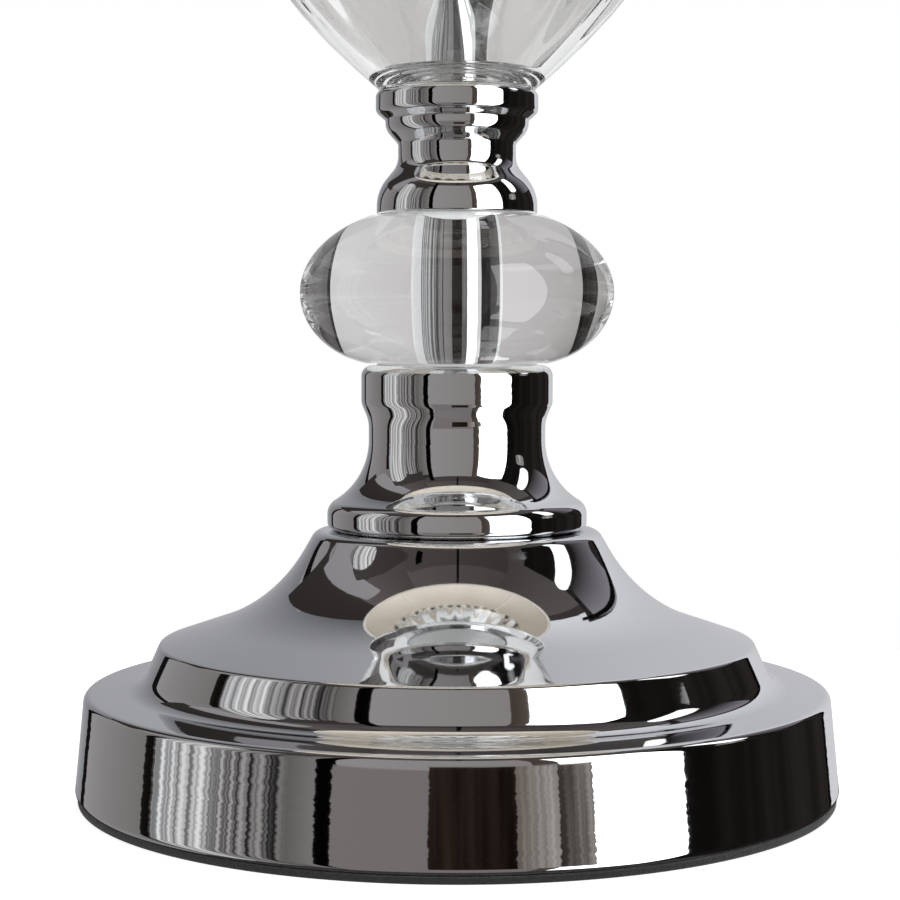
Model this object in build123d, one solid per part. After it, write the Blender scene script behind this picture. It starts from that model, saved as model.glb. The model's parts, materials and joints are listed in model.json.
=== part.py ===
from build123d import *
import math
import os

# Electric table lamp: chromed base and collars, glass knob, clear glass body, E14 holder with a
# candle bulb, and a fabric shade.  Millimetres, +Z up.  The origin is on the table at the lamp's
# axis, the front faces -Y and the cord inlet faces +Y.

# Fits
TIGHT_GAP = 0.05        # screwed or pressed pieces, taken at their crests
RUN_GAP = 0.08          # pieces that turn on one another, per side
SEAT_GAP = 0.25         # a piece let into a recess, per side
HOLE_GAP = 0.3          # a clearance hole round the rod, per side

# Felt pad under the base
PAD_THICK = 1.4
PAD_INSET = 0.6         # the pad stops this far inside the rim

# Spun base shell, from the rim up to the flat on top of its dome
SHELL_WALL = 1.2
RIM_RADIUS = 80.0
RIM_ROLL = 1.5          # outside radius of the rolled bottom edge
LIP_WIDTH = 4.0         # the edge turned in under the base
BAND_HEIGHT = 21.1
BAND_TAPER = 2.05       # the band leans in by this much at its top
SHOULDER_ROUND = 1.6
SHOULDER_RISE = 0.8
SHOULDER_WIDTH = 11.55
STEP_FOOT_ROUND = 5.0
STEP_HEIGHT = 8.9
STEP_TAPER = 3.95
STEP_EDGE_ROUND = 1.2
DOME_BEND_OUT = 8.8     # the bend of the dome, outside its flat top
DOME_BEND_RISE = 8.15
DOME_SWEEP = 34.0       # radius of the hollow curve of the dome
DOME_HEIGHT = 23.5
DOME_LEDGE = 2.4        # the flat top shows this much round the bead
DOME_TOP_ROUND = 2.8

# Cast weight inside the base
WEIGHT_GAP = 2.0        # room for the weight inside the turned-in lip
WEIGHT_THICK = 9.0
HUB_RADIUS = 20.0
NUT_RECESS_RADIUS = 14.0
NUT_RECESS_DEPTH = 12.0
CORD_WAY_WIDTH = 9.0
WEIGHT_ROUND = 1.5

# Cord inlet in the back of the band
INLET_HEIGHT = 9.0      # above the top of the pad
CORD_BORE = 3.3
INLET_NECK_WALL = 1.6
INLET_FLANGE_WALL = 3.2
INLET_FLANGE_THICK = 1.6

# Hollow threaded rod, its nuts and washers
ROD_RADIUS = 5.0
ROD_BORE = 3.6
ROD_TAIL = 2.0          # rod showing below its bottom nut
NUT_ACROSS = 17.0
NUT_THICK = 6.0
STEEL_WASHER_RADIUS = 10.0
STEEL_WASHER_THICK = 1.5

# Spool collar between base and knob
SPOOL_HEIGHT = 34.45
SPOOL_WALL = 2.6        # at its waist
SPOOL_PLATE = 3.0
BEAD_RADIUS = 27.3
BEAD_HEIGHT = 5.1
BEAD_ROUND = 1.6
BEAD_TOP_ROUND = 3.2
WAIST_RADIUS = 18.55
WAIST_RISE = 10.5
WAIST_SWEEP = 15.0
COLLAR_COVE_RISE = 22.8
COLLAR_COVE = 7.5
COLLAR_RADIUS = 20.1
COLLAR_RISE = 26.5
COLLAR_ROUND = 3.5
COLLAR_TOP_ROUND = 2.2

# Clear glass knob and the tube through it
KNOB_RADIUS = 32.9
KNOB_HEIGHT = 30.55
KNOB_EQUATOR_RISE = 14.65
KNOB_LOWER_SEAT = 19.3
KNOB_UPPER_SEAT = 18.6
KNOB_LOWER_BULGE = 18.3  # half widths of the two ellipses that round its side
KNOB_UPPER_BULGE = 28.3
SLEEVE_RADIUS = 6.35
SLEEVE_WALL = 0.8
CUSHION_THICK = 0.5     # clear washers above and below each glass
CUSHION_INSET = 2.5     # a clear washer stops this far inside its glass seat

# Neck cup between knob and glass body
NECK_HEIGHT = 25.8
NECK_FOOT_ROUND = 0.5
NECK_BELL_RADIUS = 16.8
NECK_BELL_RISE = 4.85
NECK_BELL_ROUND = 9.0
NECK_WAIST_RADIUS = 12.3
NECK_WAIST_RISE = 10.3
NECK_WAIST_ROUND = 4.9
NECK_FLARE_RISE = 14.6
NECK_FLARE_ROUND = 1.2
NECK_RING_RADIUS = 14.95
NECK_RING_RISE = 17.6
NECK_RING_ROUND = 3.6
NECK_GROOVE_RISE = 19.5
NECK_GROOVE_ROUND = 0.6
NECK_CUP_RISE = 21.2
NECK_CUP_ROUND = 1.6
NECK_RIM_WALL = 1.7
RECESS_DEPTH = 1.7

# Blown glass body
GLASS_WALL = 3.4
GLASS_FLOOR = 6.5
BODY_FOOT_RADIUS = 15.0
BODY_FOOT_DEPTH = 1.3
BODY_FLARE_RADIUS = 16.3
BODY_RADIUS = 62.0
BODY_BELLY_RISE = 41.8
BODY_SWEEP = 121.0      # radius of the long curve from foot to shoulder
BODY_SHOULDER_DROP = 14.2
BODY_SHOULDER_ROUND = 30.0
BODY_NECK_RADIUS = 17.5
BODY_NECK_LENGTH = 7.9
BODY_NECK_ROUND = 5.0
BODY_HEIGHT = 146.1
GLASS_EDGE = 0.6

# Cap on the glass body
CAP_WALL = 1.9
CAP_SKIRT = 5.6
CAP_PLATE = 4.0
CAP_RING_RADIUS = 17.0
CAP_RING_HEIGHT = 3.0
CAP_ROUND = 0.9

# Top spool, hollow over the top nut
TOP_SPOOL_HEIGHT = 20.0
TOP_FOOT_RADIUS = 13.8
TOP_FOOT_HEIGHT = 3.2
TOP_WALL = 1.5
NUT_ROOM = 0.8
TOP_WAIST_RADIUS = 8.4
TOP_WAIST_RISE = 12.4
TOP_FLARE_RISE = 14.0
TOP_RIM_RADIUS = 13.2
TOP_RIM_HEIGHT = 2.6
TOP_ROUND = 0.9

# E14 lampholder
HOLDER_FOOT_RADIUS = 11.5
HOLDER_CAP_HEIGHT = 15.0
HOLDER_CAP_ROUND = 3.0
HOLDER_FLOOR = 4.0
HOLDER_LEDGE_RISE = 8.0
HOLDER_LEDGE = 1.4
HOLDER_WALL = 1.8
THREAD_RADIUS = 14.2    # crests of the shade-ring thread on the holder
HOLDER_FLANGE_RADIUS = 17.0
HOLDER_FLANGE_THICK = 2.2
HOLDER_SHELL_HEIGHT = 31.0
HOLDER_LIP = 1.2
HOLDER_LIP_THICK = 1.6
SOCKET_DEPTH = 18.5
CONTACT_THICK = 0.8
CONTACT_WIDTH = 4.0
CONTACT_REACH = 5.0
SIDE_CONTACT_HEIGHT = 11.0
SIDE_CONTACT_FOOT = 5.0
GRUB_RADIUS = 1.5
TERMINAL_RADIUS = 2.0
TERMINAL_THICK = 2.0
TERMINAL_PLACE = 7.0

# E14 candle bulb
BULB_CAP_RADIUS = 6.95  # crests of its thread
BULB_CAP_WALL = 0.5
BULB_CAP_LENGTH = 14.5
BULB_TIP_RADIUS = 2.0
BULB_TIP_HEIGHT = 1.6
INSULATOR_HEIGHT = 3.4
BULB_LIP_RADIUS = 8.6
BULB_LIP_HEIGHT = 3.0
BULB_WALL = 1.0
BULB_RADIUS = 17.5
BULB_NECK_LENGTH = 6.0
BULB_NECK_ROUND = 7.0
BULB_BELLY_RISE = 17.0
BULB_TAPER_RISE = 30.0
BULB_POINT_RADIUS = 3.5
BULB_POINT_RISE = 74.0
BULB_LENGTH = 76.5
STEM_RADIUS = 3.2
STEM_HEIGHT = 14.0
STEM_DISC_RADIUS = 6.2
STEM_DISC_THICK = 1.2
STEM_TOP_RADIUS = 1.2
FILAMENT_RADIUS = 0.8
FILAMENT_LENGTH = 32.0
FILAMENT_PLACE = 4.4
FILAMENT_COUNT = 4

# Shade rings on the holder thread, and the reducer in the shade's hub
RING_RADIUS = 21.5
RING_HEIGHT = 7.0
RING_RIM = 2.0          # height of the full-width rim that faces the shade
RING_HUB_WALL = 3.2
RING_RIBS = 24
RING_RIB_DEPTH = 0.8
REDUCER_FLANGE_RADIUS = 23.0
REDUCER_FLANGE_THICK = 1.5
REDUCER_RADIUS = 19.9
REDUCER_PROUD = 0.2     # the reducer stands this much above the hub plate

# Shade
SHADE_HEIGHT = 200.0
SHADE_BOTTOM_RADIUS = 150.0
SHADE_TOP_RADIUS = 90.0
SHADE_DROP = 24.0       # bottom edge below the hub plate
COVER_THICK = 0.8
WIRE_RADIUS = 1.5
RING_LIFT = 2.4         # ring wires above or below the edge of the cover
HUB_PLATE_THICK = 1.2
HUB_PLATE_RADIUS = 27.0
ARM_COUNT = 3
TRIM_WIDTH = 10.0
TRIM_THICK = 0.5

# Levels worked out from the heights above
pad_top = PAD_THICK
band_top = pad_top + BAND_HEIGHT
step_foot = band_top + SHOULDER_RISE
step_top = step_foot + STEP_HEIGHT
dome_top = step_top + DOME_HEIGHT
spool_top = dome_top + SPOOL_HEIGHT
knob_bottom = spool_top + CUSHION_THICK
knob_top = knob_bottom + KNOB_HEIGHT
neck_bottom = knob_top + CUSHION_THICK
neck_top = neck_bottom + NECK_HEIGHT
recess_floor = neck_top - RECESS_DEPTH
body_bottom = recess_floor + CUSHION_THICK
body_top = body_bottom + BODY_HEIGHT
cap_seat = body_top + CUSHION_THICK
cap_top = cap_seat + CAP_PLATE
holder_bottom = cap_top + TOP_SPOOL_HEIGHT
shell_bottom = holder_bottom + HOLDER_CAP_HEIGHT
flange_top = shell_bottom + HOLDER_FLANGE_THICK
shell_top = shell_bottom + HOLDER_SHELL_HEIGHT
insert_bottom = holder_bottom + HOLDER_LEDGE_RISE
insert_top = shell_top - HOLDER_LIP_THICK - SEAT_GAP
contact_floor = insert_top - SOCKET_DEPTH
bulb_bottom = contact_floor + CONTACT_THICK
cap_bottom = bulb_bottom + BULB_TIP_HEIGHT + INSULATOR_HEIGHT
lip_bottom = cap_bottom + BULB_CAP_LENGTH
ring_bottom = flange_top + SEAT_GAP
reducer_bottom = ring_bottom + RING_HEIGHT
hub_bottom = reducer_bottom + REDUCER_FLANGE_THICK
hub_top = hub_bottom + HUB_PLATE_THICK
reducer_top = hub_top + REDUCER_PROUD
shade_bottom = hub_bottom - SHADE_DROP
shade_top = shade_bottom + SHADE_HEIGHT

# Radii that several pieces share
band_top_radius = RIM_RADIUS - BAND_TAPER
step_foot_radius = band_top_radius - SHOULDER_WIDTH
step_edge_radius = step_foot_radius - STEP_TAPER
dome_top_radius = BEAD_RADIUS + DOME_LEDGE
dome_bend_radius = dome_top_radius + DOME_BEND_OUT
rod_hole = ROD_RADIUS + HOLE_GAP
rod_thread = ROD_RADIUS + TIGHT_GAP
sleeve_hole = SLEEVE_RADIUS + SEAT_GAP
nut_corner = NUT_ACROSS / 2 / math.cos(math.pi / 6)
weight_seat = pad_top + NUT_RECESS_DEPTH
nut_room_radius = nut_corner + NUT_ROOM
cup_radius = BODY_FOOT_RADIUS + SEAT_GAP + NECK_RIM_WALL
holder_inside = THREAD_RADIUS - HOLDER_WALL
socket_radius = BULB_CAP_RADIUS + HOLE_GAP
inlet_z = pad_top + INLET_HEIGHT
inlet_neck = CORD_BORE + INLET_NECK_WALL
inlet_flange = CORD_BORE + INLET_FLANGE_WALL
shade_slope = (SHADE_BOTTOM_RADIUS - SHADE_TOP_RADIUS) / SHADE_HEIGHT
shade_slant = math.hypot(1, shade_slope)


def rounded(corners):
    """Lines and arcs through (r, z) corners; a third number rounds a corner as far as its sides allow."""
    points = [Vector(corner[0], 0, corner[1]) for corner in corners]
    last = len(points) - 1
    half_angles = [0.0] * len(points)
    reaches = [0.0] * len(points)
    for i in range(1, last):
        if len(corners[i]) > 2:
            turn = (points[i - 1] - points[i]).get_angle(points[i + 1] - points[i])
            half_angles[i] = math.radians(turn) / 2
            reaches[i] = corners[i][2] / math.tan(half_angles[i])
    for i in range(last):
        room = (points[i + 1] - points[i]).length
        wanted = reaches[i] + reaches[i + 1]
        if wanted > room:
            reaches[i] *= room / wanted
            reaches[i + 1] *= room / wanted
    edges = []
    here = points[0]
    for i in range(1, last + 1):
        back = (points[i - 1] - points[i]).normalized()
        start = points[i] + back * reaches[i]
        if (start - here).length > 1e-6:
            edges.append(Edge.make_line(here, start))
        here = start
        if reaches[i] > 0:
            ahead = (points[i + 1] - points[i]).normalized()
            radius = reaches[i] * math.tan(half_angles[i])
            depth = radius / math.sin(half_angles[i]) - radius
            middle = points[i] + (back + ahead).normalized() * depth
            here = points[i] + ahead * reaches[i]
            edges.append(Edge.make_three_point_arc(start, middle, here))
    return edges


def turned(corners):
    """A solid of revolution about Z, from a closed outline of (r, z) corners."""
    outline = Wire(rounded([*corners, corners[0]]))
    return revolve(Face(outline), Axis.Z)


def inset(corners, wall):
    """The open outline moved to its left by a wall, with its rounded corners kept concentric."""
    directions = []
    for (r0, z0, *_), (r1, z1, *_) in zip(corners, corners[1:]):
        length = math.hypot(r1 - r0, z1 - z0)
        directions.append(((r1 - r0) / length, (z1 - z0) / length))
    moved = []
    for i, corner in enumerate(corners):
        before = directions[max(i - 1, 0)]
        after = directions[min(i, len(directions) - 1)]
        bend = before[0] * after[1] - before[1] * after[0]
        share = wall / (1 + before[0] * after[0] + before[1] * after[1])
        r = corner[0] - (before[1] + after[1]) * share
        z = corner[1] + (before[0] + after[0]) * share
        if len(corner) > 2:
            moved.append((r, z, max(corner[2] - math.copysign(wall, bend), TIGHT_GAP)))
        else:
            moved.append((r, z))
    return moved


def tube(inner, outer, bottom, top):
    """A plain ring or tube about Z."""
    return turned([(inner, bottom), (outer, bottom), (outer, top), (inner, top)])


def nut(bottom):
    """A hexagon nut on the rod."""
    blank = extrude(Pos(0, 0, bottom) * RegularPolygon(nut_corner, 6), NUT_THICK)
    return blank - tube(0, rod_thread, bottom, bottom + NUT_THICK)


def felt_pad():
    return tube(0, RIM_RADIUS - PAD_INSET, 0, pad_top)


def base_shell():
    outside = [
        (RIM_RADIUS - LIP_WIDTH, pad_top),
        (RIM_RADIUS, pad_top, RIM_ROLL),
        (band_top_radius, band_top, SHOULDER_ROUND),
        (step_foot_radius, step_foot, STEP_FOOT_ROUND),
        (step_edge_radius, step_top, STEP_EDGE_ROUND),
        (dome_bend_radius, step_top + DOME_BEND_RISE, DOME_SWEEP),
        (dome_top_radius, dome_top, DOME_TOP_ROUND),
        (rod_hole, dome_top),
    ]
    inside = inset(outside, SHELL_WALL)
    section = Wire([
        *rounded(outside),
        *rounded(inside),
        *rounded([outside[0], inside[0]]),
        *rounded([outside[-1], inside[-1]]),
    ])
    inlet_hole = Pos(0, RIM_RADIUS, inlet_z) * Rot(90, 0, 0) * Cylinder(inlet_neck + TIGHT_GAP, RIM_RADIUS)
    return revolve(Face(section), Axis.Z) - inlet_hole


def base_weight():
    rim = RIM_RADIUS - LIP_WIDTH - WEIGHT_GAP
    disc_top = pad_top + WEIGHT_THICK
    hub_end = dome_top - SHELL_WALL
    weight = turned([
        (rod_hole, weight_seat),
        (NUT_RECESS_RADIUS, weight_seat),
        (NUT_RECESS_RADIUS, pad_top),
        (rim, pad_top),
        (rim, disc_top, WEIGHT_ROUND),
        (HUB_RADIUS, disc_top, WEIGHT_ROUND),
        (HUB_RADIUS, hub_end),
        (rod_hole, hub_end),
    ])
    cord_way = Pos(0, RIM_RADIUS / 2, pad_top) * Box(
        CORD_WAY_WIDTH, RIM_RADIUS, NUT_RECESS_DEPTH, align=(Align.CENTER, Align.CENTER, Align.MIN)
    )
    return weight - cord_way


def cord_inlet(shell):
    # The flange follows the band, so it is cut back by the shell that it clips into.
    wall = RIM_RADIUS - BAND_TAPER * INLET_HEIGHT / BAND_HEIGHT
    face = wall + INLET_FLANGE_THICK
    tail = wall - SHELL_WALL - INLET_FLANGE_THICK
    bush = turned([
        (CORD_BORE, tail),
        (inlet_neck, tail),
        (inlet_neck, wall - SHELL_WALL / 2),
        (inlet_flange, wall - SHELL_WALL / 2),
        (inlet_flange, face, INLET_FLANGE_THICK / 2),
        (CORD_BORE, face),
    ])
    placed = Pos(0, 0, inlet_z) * Rot(-90, 0, 0) * bush
    outer_pieces = (placed - shell).solids()
    return max(outer_pieces, key=lambda piece: piece.volume)


def steel_washer(bottom):
    return tube(rod_hole, STEEL_WASHER_RADIUS, bottom, bottom + STEEL_WASHER_THICK)


def threaded_rod():
    bottom = weight_seat - STEEL_WASHER_THICK - NUT_THICK - ROD_TAIL
    return tube(ROD_BORE, ROD_RADIUS, bottom, holder_bottom + HOLDER_FLOOR)


def spool_collar():
    hollow = WAIST_RADIUS - SPOOL_WALL
    z = dome_top
    return turned([
        (hollow, z),
        (BEAD_RADIUS, z, BEAD_ROUND),
        (BEAD_RADIUS, z + BEAD_HEIGHT, BEAD_TOP_ROUND),
        (WAIST_RADIUS, z + WAIST_RISE, WAIST_SWEEP),
        (WAIST_RADIUS, z + COLLAR_COVE_RISE, COLLAR_COVE),
        (COLLAR_RADIUS, z + COLLAR_RISE, COLLAR_ROUND),
        (COLLAR_RADIUS, spool_top, COLLAR_TOP_ROUND),
        (rod_hole, spool_top),
        (rod_hole, spool_top - SPOOL_PLATE),
        (hollow, spool_top - SPOOL_PLATE),
    ])


def glass_cushion(glass_seat, bottom):
    return tube(sleeve_hole, glass_seat - CUSHION_INSET, bottom, bottom + CUSHION_THICK)


def sleeve(bottom, top):
    return tube(SLEEVE_RADIUS - SLEEVE_WALL, SLEEVE_RADIUS, bottom, top)


def knob_side(seat_radius, bulge, rise):
    """A quarter of the knob's outline, an ellipse from its equator to a flat seat that is a rise away."""
    middle_radius = KNOB_RADIUS - bulge
    seat_share = (seat_radius - middle_radius) / bulge
    half_tall = abs(rise) / math.sqrt(1 - seat_share**2)
    end_angle = math.degrees(math.asin(rise / half_tall))
    equator = knob_bottom + KNOB_EQUATOR_RISE
    centre = Plane((middle_radius, 0, equator), x_dir=(1, 0, 0), z_dir=(0, -1, 0))
    return Edge.make_ellipse(bulge, half_tall, centre, min(0, end_angle), max(0, end_angle))


def glass_knob():
    lower = knob_side(KNOB_LOWER_SEAT, KNOB_LOWER_BULGE, -KNOB_EQUATOR_RISE)
    upper = knob_side(KNOB_UPPER_SEAT, KNOB_UPPER_BULGE, KNOB_HEIGHT - KNOB_EQUATOR_RISE)
    bore_and_seats = rounded([
        (KNOB_UPPER_SEAT, knob_top),
        (sleeve_hole, knob_top),
        (sleeve_hole, knob_bottom),
        (KNOB_LOWER_SEAT, knob_bottom),
    ])
    return revolve(Face(Wire([lower, upper, *bore_and_seats])), Axis.Z)


def neck_cup():
    z = neck_bottom
    recess = BODY_FOOT_RADIUS + SEAT_GAP
    return turned([
        (rod_hole, z),
        (NECK_BELL_RADIUS, z, NECK_FOOT_ROUND),
        (NECK_BELL_RADIUS, z + NECK_BELL_RISE, NECK_BELL_ROUND),
        (NECK_WAIST_RADIUS, z + NECK_WAIST_RISE, NECK_WAIST_ROUND),
        (NECK_WAIST_RADIUS, z + NECK_FLARE_RISE, NECK_FLARE_ROUND),
        (NECK_RING_RADIUS, z + NECK_RING_RISE, NECK_RING_ROUND),
        (NECK_RING_RADIUS, z + NECK_GROOVE_RISE, NECK_GROOVE_ROUND),
        (cup_radius, z + NECK_CUP_RISE, NECK_CUP_ROUND),
        (cup_radius, neck_top, NECK_CUP_ROUND),
        (recess, neck_top),
        (recess, recess_floor),
        (rod_hole, recess_floor),
    ])


def glass_body():
    z = body_bottom
    flare = z + BODY_FOOT_DEPTH
    neck_foot = body_top - BODY_NECK_LENGTH
    outside = [
        (BODY_FLARE_RADIUS, flare, GLASS_EDGE),
        (BODY_RADIUS, z + BODY_BELLY_RISE, BODY_SWEEP),
        (BODY_RADIUS, neck_foot - BODY_SHOULDER_DROP, BODY_SHOULDER_ROUND),
        (BODY_NECK_RADIUS, neck_foot, BODY_NECK_ROUND),
        (BODY_NECK_RADIUS, body_top, GLASS_EDGE),
    ]
    inside = inset(outside, GLASS_WALL)
    floor_z = z + GLASS_FLOOR
    climb = (floor_z - inside[0][1]) / (inside[1][1] - inside[0][1])
    floor_radius = inside[0][0] + (inside[1][0] - inside[0][0]) * climb
    mouth = (inside[-1][0], body_top, GLASS_EDGE)
    return turned([
        (sleeve_hole, z),
        (BODY_FOOT_RADIUS, z, GLASS_EDGE),
        (BODY_FOOT_RADIUS, flare),
        *outside,
        mouth,
        *reversed(inside[1:-1]),
        (floor_radius, floor_z, GLASS_WALL),
        (sleeve_hole, floor_z),
    ])


def body_rim_cushion():
    mouth = BODY_NECK_RADIUS - GLASS_WALL
    return tube(mouth + GLASS_EDGE, BODY_NECK_RADIUS - GLASS_EDGE, body_top, cap_seat)


def body_cap():
    skirt = BODY_NECK_RADIUS + SEAT_GAP
    skirt_end = cap_seat - CAP_SKIRT
    return turned([
        (skirt, skirt_end),
        (skirt + CAP_WALL, skirt_end, CAP_ROUND),
        (skirt + CAP_WALL, cap_seat, CAP_ROUND),
        (CAP_RING_RADIUS, cap_top - CAP_RING_HEIGHT, CAP_ROUND / 2),
        (CAP_RING_RADIUS, cap_top, CAP_ROUND),
        (rod_hole, cap_top),
        (rod_hole, cap_seat),
        (skirt, cap_seat),
    ])


def top_spool():
    z = cap_top
    hollow_top = z + STEEL_WASHER_THICK + NUT_THICK + NUT_ROOM
    body_radius = nut_room_radius + TOP_WALL
    return turned([
        (nut_room_radius, z),
        (TOP_FOOT_RADIUS, z, TOP_ROUND),
        (TOP_FOOT_RADIUS, z + TOP_FOOT_HEIGHT, TOP_ROUND),
        (body_radius, z + TOP_FOOT_HEIGHT + TOP_ROUND, TOP_ROUND),
        (body_radius, hollow_top, TOP_ROUND),
        (TOP_WAIST_RADIUS, z + TOP_WAIST_RISE, TOP_ROUND * 2),
        (TOP_WAIST_RADIUS, z + TOP_FLARE_RISE, TOP_ROUND * 2),
        (TOP_RIM_RADIUS, holder_bottom - TOP_RIM_HEIGHT, TOP_ROUND),
        (TOP_RIM_RADIUS, holder_bottom, TOP_ROUND),
        (rod_hole, holder_bottom),
        (rod_hole, hollow_top),
        (nut_room_radius, hollow_top),
    ])


def holder_cap():
    z = holder_bottom
    ledge = holder_inside - HOLDER_LEDGE
    cup = turned([
        (rod_thread, z),
        (HOLDER_FOOT_RADIUS, z, HOLDER_LEDGE),
        (THREAD_RADIUS, z + HOLDER_FLOOR, HOLDER_CAP_ROUND),
        (THREAD_RADIUS, shell_bottom),
        (holder_inside, shell_bottom),
        (holder_inside, insert_bottom),
        (ledge, insert_bottom),
        (ledge, z + HOLDER_FLOOR),
        (rod_thread, z + HOLDER_FLOOR),
    ])
    return cup - grub_way(GRUB_RADIUS + TIGHT_GAP, THREAD_RADIUS)


def grub_way(radius, length):
    """A cylinder from the rod out to the back, through the floor of the holder cap."""
    middle = holder_bottom + HOLDER_FLOOR / 2
    return Pos(0, rod_thread, middle) * Rot(-90, 0, 0) * Cylinder(
        radius, length, align=(Align.CENTER, Align.CENTER, Align.MIN)
    )


def grub_screw():
    return grub_way(GRUB_RADIUS, HOLDER_FOOT_RADIUS - rod_thread)


def holder_shell():
    lip = holder_inside - HOLDER_LIP
    return turned([
        (holder_inside, shell_bottom),
        (HOLDER_FLANGE_RADIUS, shell_bottom, HOLDER_FLANGE_THICK / 3),
        (HOLDER_FLANGE_RADIUS, flange_top, HOLDER_FLANGE_THICK / 3),
        (THREAD_RADIUS, flange_top),
        (THREAD_RADIUS, shell_top, HOLDER_LIP_THICK / 2),
        (lip, shell_top),
        (lip, shell_top - HOLDER_LIP_THICK),
        (holder_inside, shell_top - HOLDER_LIP_THICK),
    ])


def side_contact_block(clearance):
    """The bent strip that meets the bulb's thread, or its pocket if given a clearance."""
    inner = BULB_CAP_RADIUS + TIGHT_GAP * 2
    low = contact_floor + SIDE_CONTACT_FOOT - clearance
    strip = Pos(inner, 0, low) * Box(
        CONTACT_THICK + clearance,
        CONTACT_WIDTH + clearance * 2,
        SIDE_CONTACT_HEIGHT + clearance * 2,
        align=(Align.MIN, Align.CENTER, Align.MIN),
    )
    return strip


def holder_insert():
    block = turned([
        (0, insert_bottom),
        (holder_inside - SEAT_GAP, insert_bottom),
        (holder_inside - SEAT_GAP, insert_top),
        (socket_radius, insert_top, HOLE_GAP),
        (socket_radius, contact_floor),
        (0, contact_floor),
    ])
    return block - side_contact_block(TIGHT_GAP)


def centre_contact():
    # A leaf that lies flat on the floor of the socket, under the bulb's tip.
    return Pos(0, 0, contact_floor) * Box(
        CONTACT_WIDTH, CONTACT_REACH * 2, CONTACT_THICK, align=(Align.CENTER, Align.CENTER, Align.MIN)
    )


def terminal_screws():
    low = insert_bottom - TERMINAL_THICK
    screws = []
    for side in (-1, 1):
        head = Pos(side * TERMINAL_PLACE, 0, low) * Cylinder(
            TERMINAL_RADIUS, TERMINAL_THICK, align=(Align.CENTER, Align.CENTER, Align.MIN)
        )
        slot = Pos(side * TERMINAL_PLACE, 0, low) * Box(
            TERMINAL_RADIUS / 3, TERMINAL_RADIUS * 3, TERMINAL_THICK / 2
        )
        screws.append(head - slot)
    return Compound(children=[screw.solid() for screw in screws])


def bulb_tip():
    return tube(0, BULB_TIP_RADIUS, bulb_bottom, bulb_bottom + BULB_TIP_HEIGHT)


def bulb_insulator():
    low = bulb_bottom + BULB_TIP_HEIGHT
    return turned([
        (0, low),
        (BULB_TIP_RADIUS, low),
        (BULB_CAP_RADIUS - BULB_CAP_WALL, cap_bottom),
        (0, cap_bottom),
    ])


def bulb_cap():
    plate_top = lip_bottom + BULB_CAP_WALL
    neck = BULB_LIP_RADIUS - BULB_CAP_WALL
    return turned([
        (BULB_CAP_RADIUS - BULB_CAP_WALL, cap_bottom),
        (BULB_CAP_RADIUS, cap_bottom),
        (BULB_CAP_RADIUS, lip_bottom),
        (BULB_LIP_RADIUS, lip_bottom, BULB_CAP_WALL),
        (BULB_LIP_RADIUS, lip_bottom + BULB_LIP_HEIGHT),
        (neck, lip_bottom + BULB_LIP_HEIGHT),
        (neck, plate_top),
        (0, plate_top),
        (0, lip_bottom),
        (BULB_CAP_RADIUS - BULB_CAP_WALL, lip_bottom),
    ])


def bulb_glass():
    z = lip_bottom + BULB_CAP_WALL
    neck = BULB_LIP_RADIUS - BULB_CAP_WALL - TIGHT_GAP
    outside = [
        (neck, z),
        (neck, z + BULB_NECK_LENGTH, BULB_NECK_ROUND),
        (BULB_RADIUS, z + BULB_BELLY_RISE, BULB_RADIUS),
        (BULB_RADIUS, z + BULB_TAPER_RISE, BULB_RADIUS * 3),
        (BULB_POINT_RADIUS, z + BULB_POINT_RISE, BULB_POINT_RADIUS),
        (0, z + BULB_LENGTH),
    ]
    inside = inset(outside, BULB_WALL)
    inside[0] = (inside[0][0], z)
    point_share = inside[-2][0] / (inside[-2][0] - inside[-1][0])
    inside[-1] = (0, inside[-2][1] + (inside[-1][1] - inside[-2][1]) * point_share)
    return turned([*outside, *reversed(inside)])


def bulb_stem():
    low = lip_bottom + BULB_CAP_WALL
    disc = low + STEM_HEIGHT
    tip = disc + STEM_DISC_THICK + FILAMENT_LENGTH
    return turned([
        (0, low),
        (STEM_RADIUS, low),
        (STEM_RADIUS, disc),
        (STEM_DISC_RADIUS, disc),
        (STEM_DISC_RADIUS, disc + STEM_DISC_THICK),
        (STEM_TOP_RADIUS, disc + STEM_DISC_THICK),
        (STEM_TOP_RADIUS, tip),
        (0, tip),
    ])


def bulb_filaments():
    low = lip_bottom + BULB_CAP_WALL + STEM_HEIGHT + STEM_DISC_THICK
    sticks = []
    for place in PolarLocations(FILAMENT_PLACE, FILAMENT_COUNT, start_angle=45):
        stick = Cylinder(FILAMENT_RADIUS, FILAMENT_LENGTH, align=(Align.CENTER, Align.CENTER, Align.MIN))
        sticks.append((Pos(0, 0, low) * place * stick).solid())
    return Compound(children=sticks)


def shade_ring(bottom, rim_low):
    """A ribbed clamp ring; its full-width rim is at its bottom or, for the lower ring, at its top."""
    bore = THREAD_RADIUS + RUN_GAP
    top = bottom + RING_HEIGHT
    hub = bore + RING_HUB_WALL
    rim = tube(bore, RING_RADIUS, rim_low, rim_low + RING_RIM)
    ring = tube(bore, hub, bottom, top) + rim
    for place in PolarLocations(hub, RING_RIBS):
        rib = Cylinder(RING_RIB_DEPTH, RING_HEIGHT, align=(Align.CENTER, Align.CENTER, Align.MIN))
        ring += Pos(0, 0, bottom) * place * rib
    return ring


def shade_reducer():
    bore = THREAD_RADIUS + HOLE_GAP
    return turned([
        (bore, reducer_bottom),
        (REDUCER_FLANGE_RADIUS, reducer_bottom),
        (REDUCER_FLANGE_RADIUS, hub_bottom),
        (REDUCER_RADIUS, hub_bottom),
        (REDUCER_RADIUS, reducer_top),
        (bore, reducer_top),
    ])


def cover_radius(z):
    """Outside radius of the fabric at a height."""
    return SHADE_BOTTOM_RADIUS - (z - shade_bottom) * shade_slope


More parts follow.
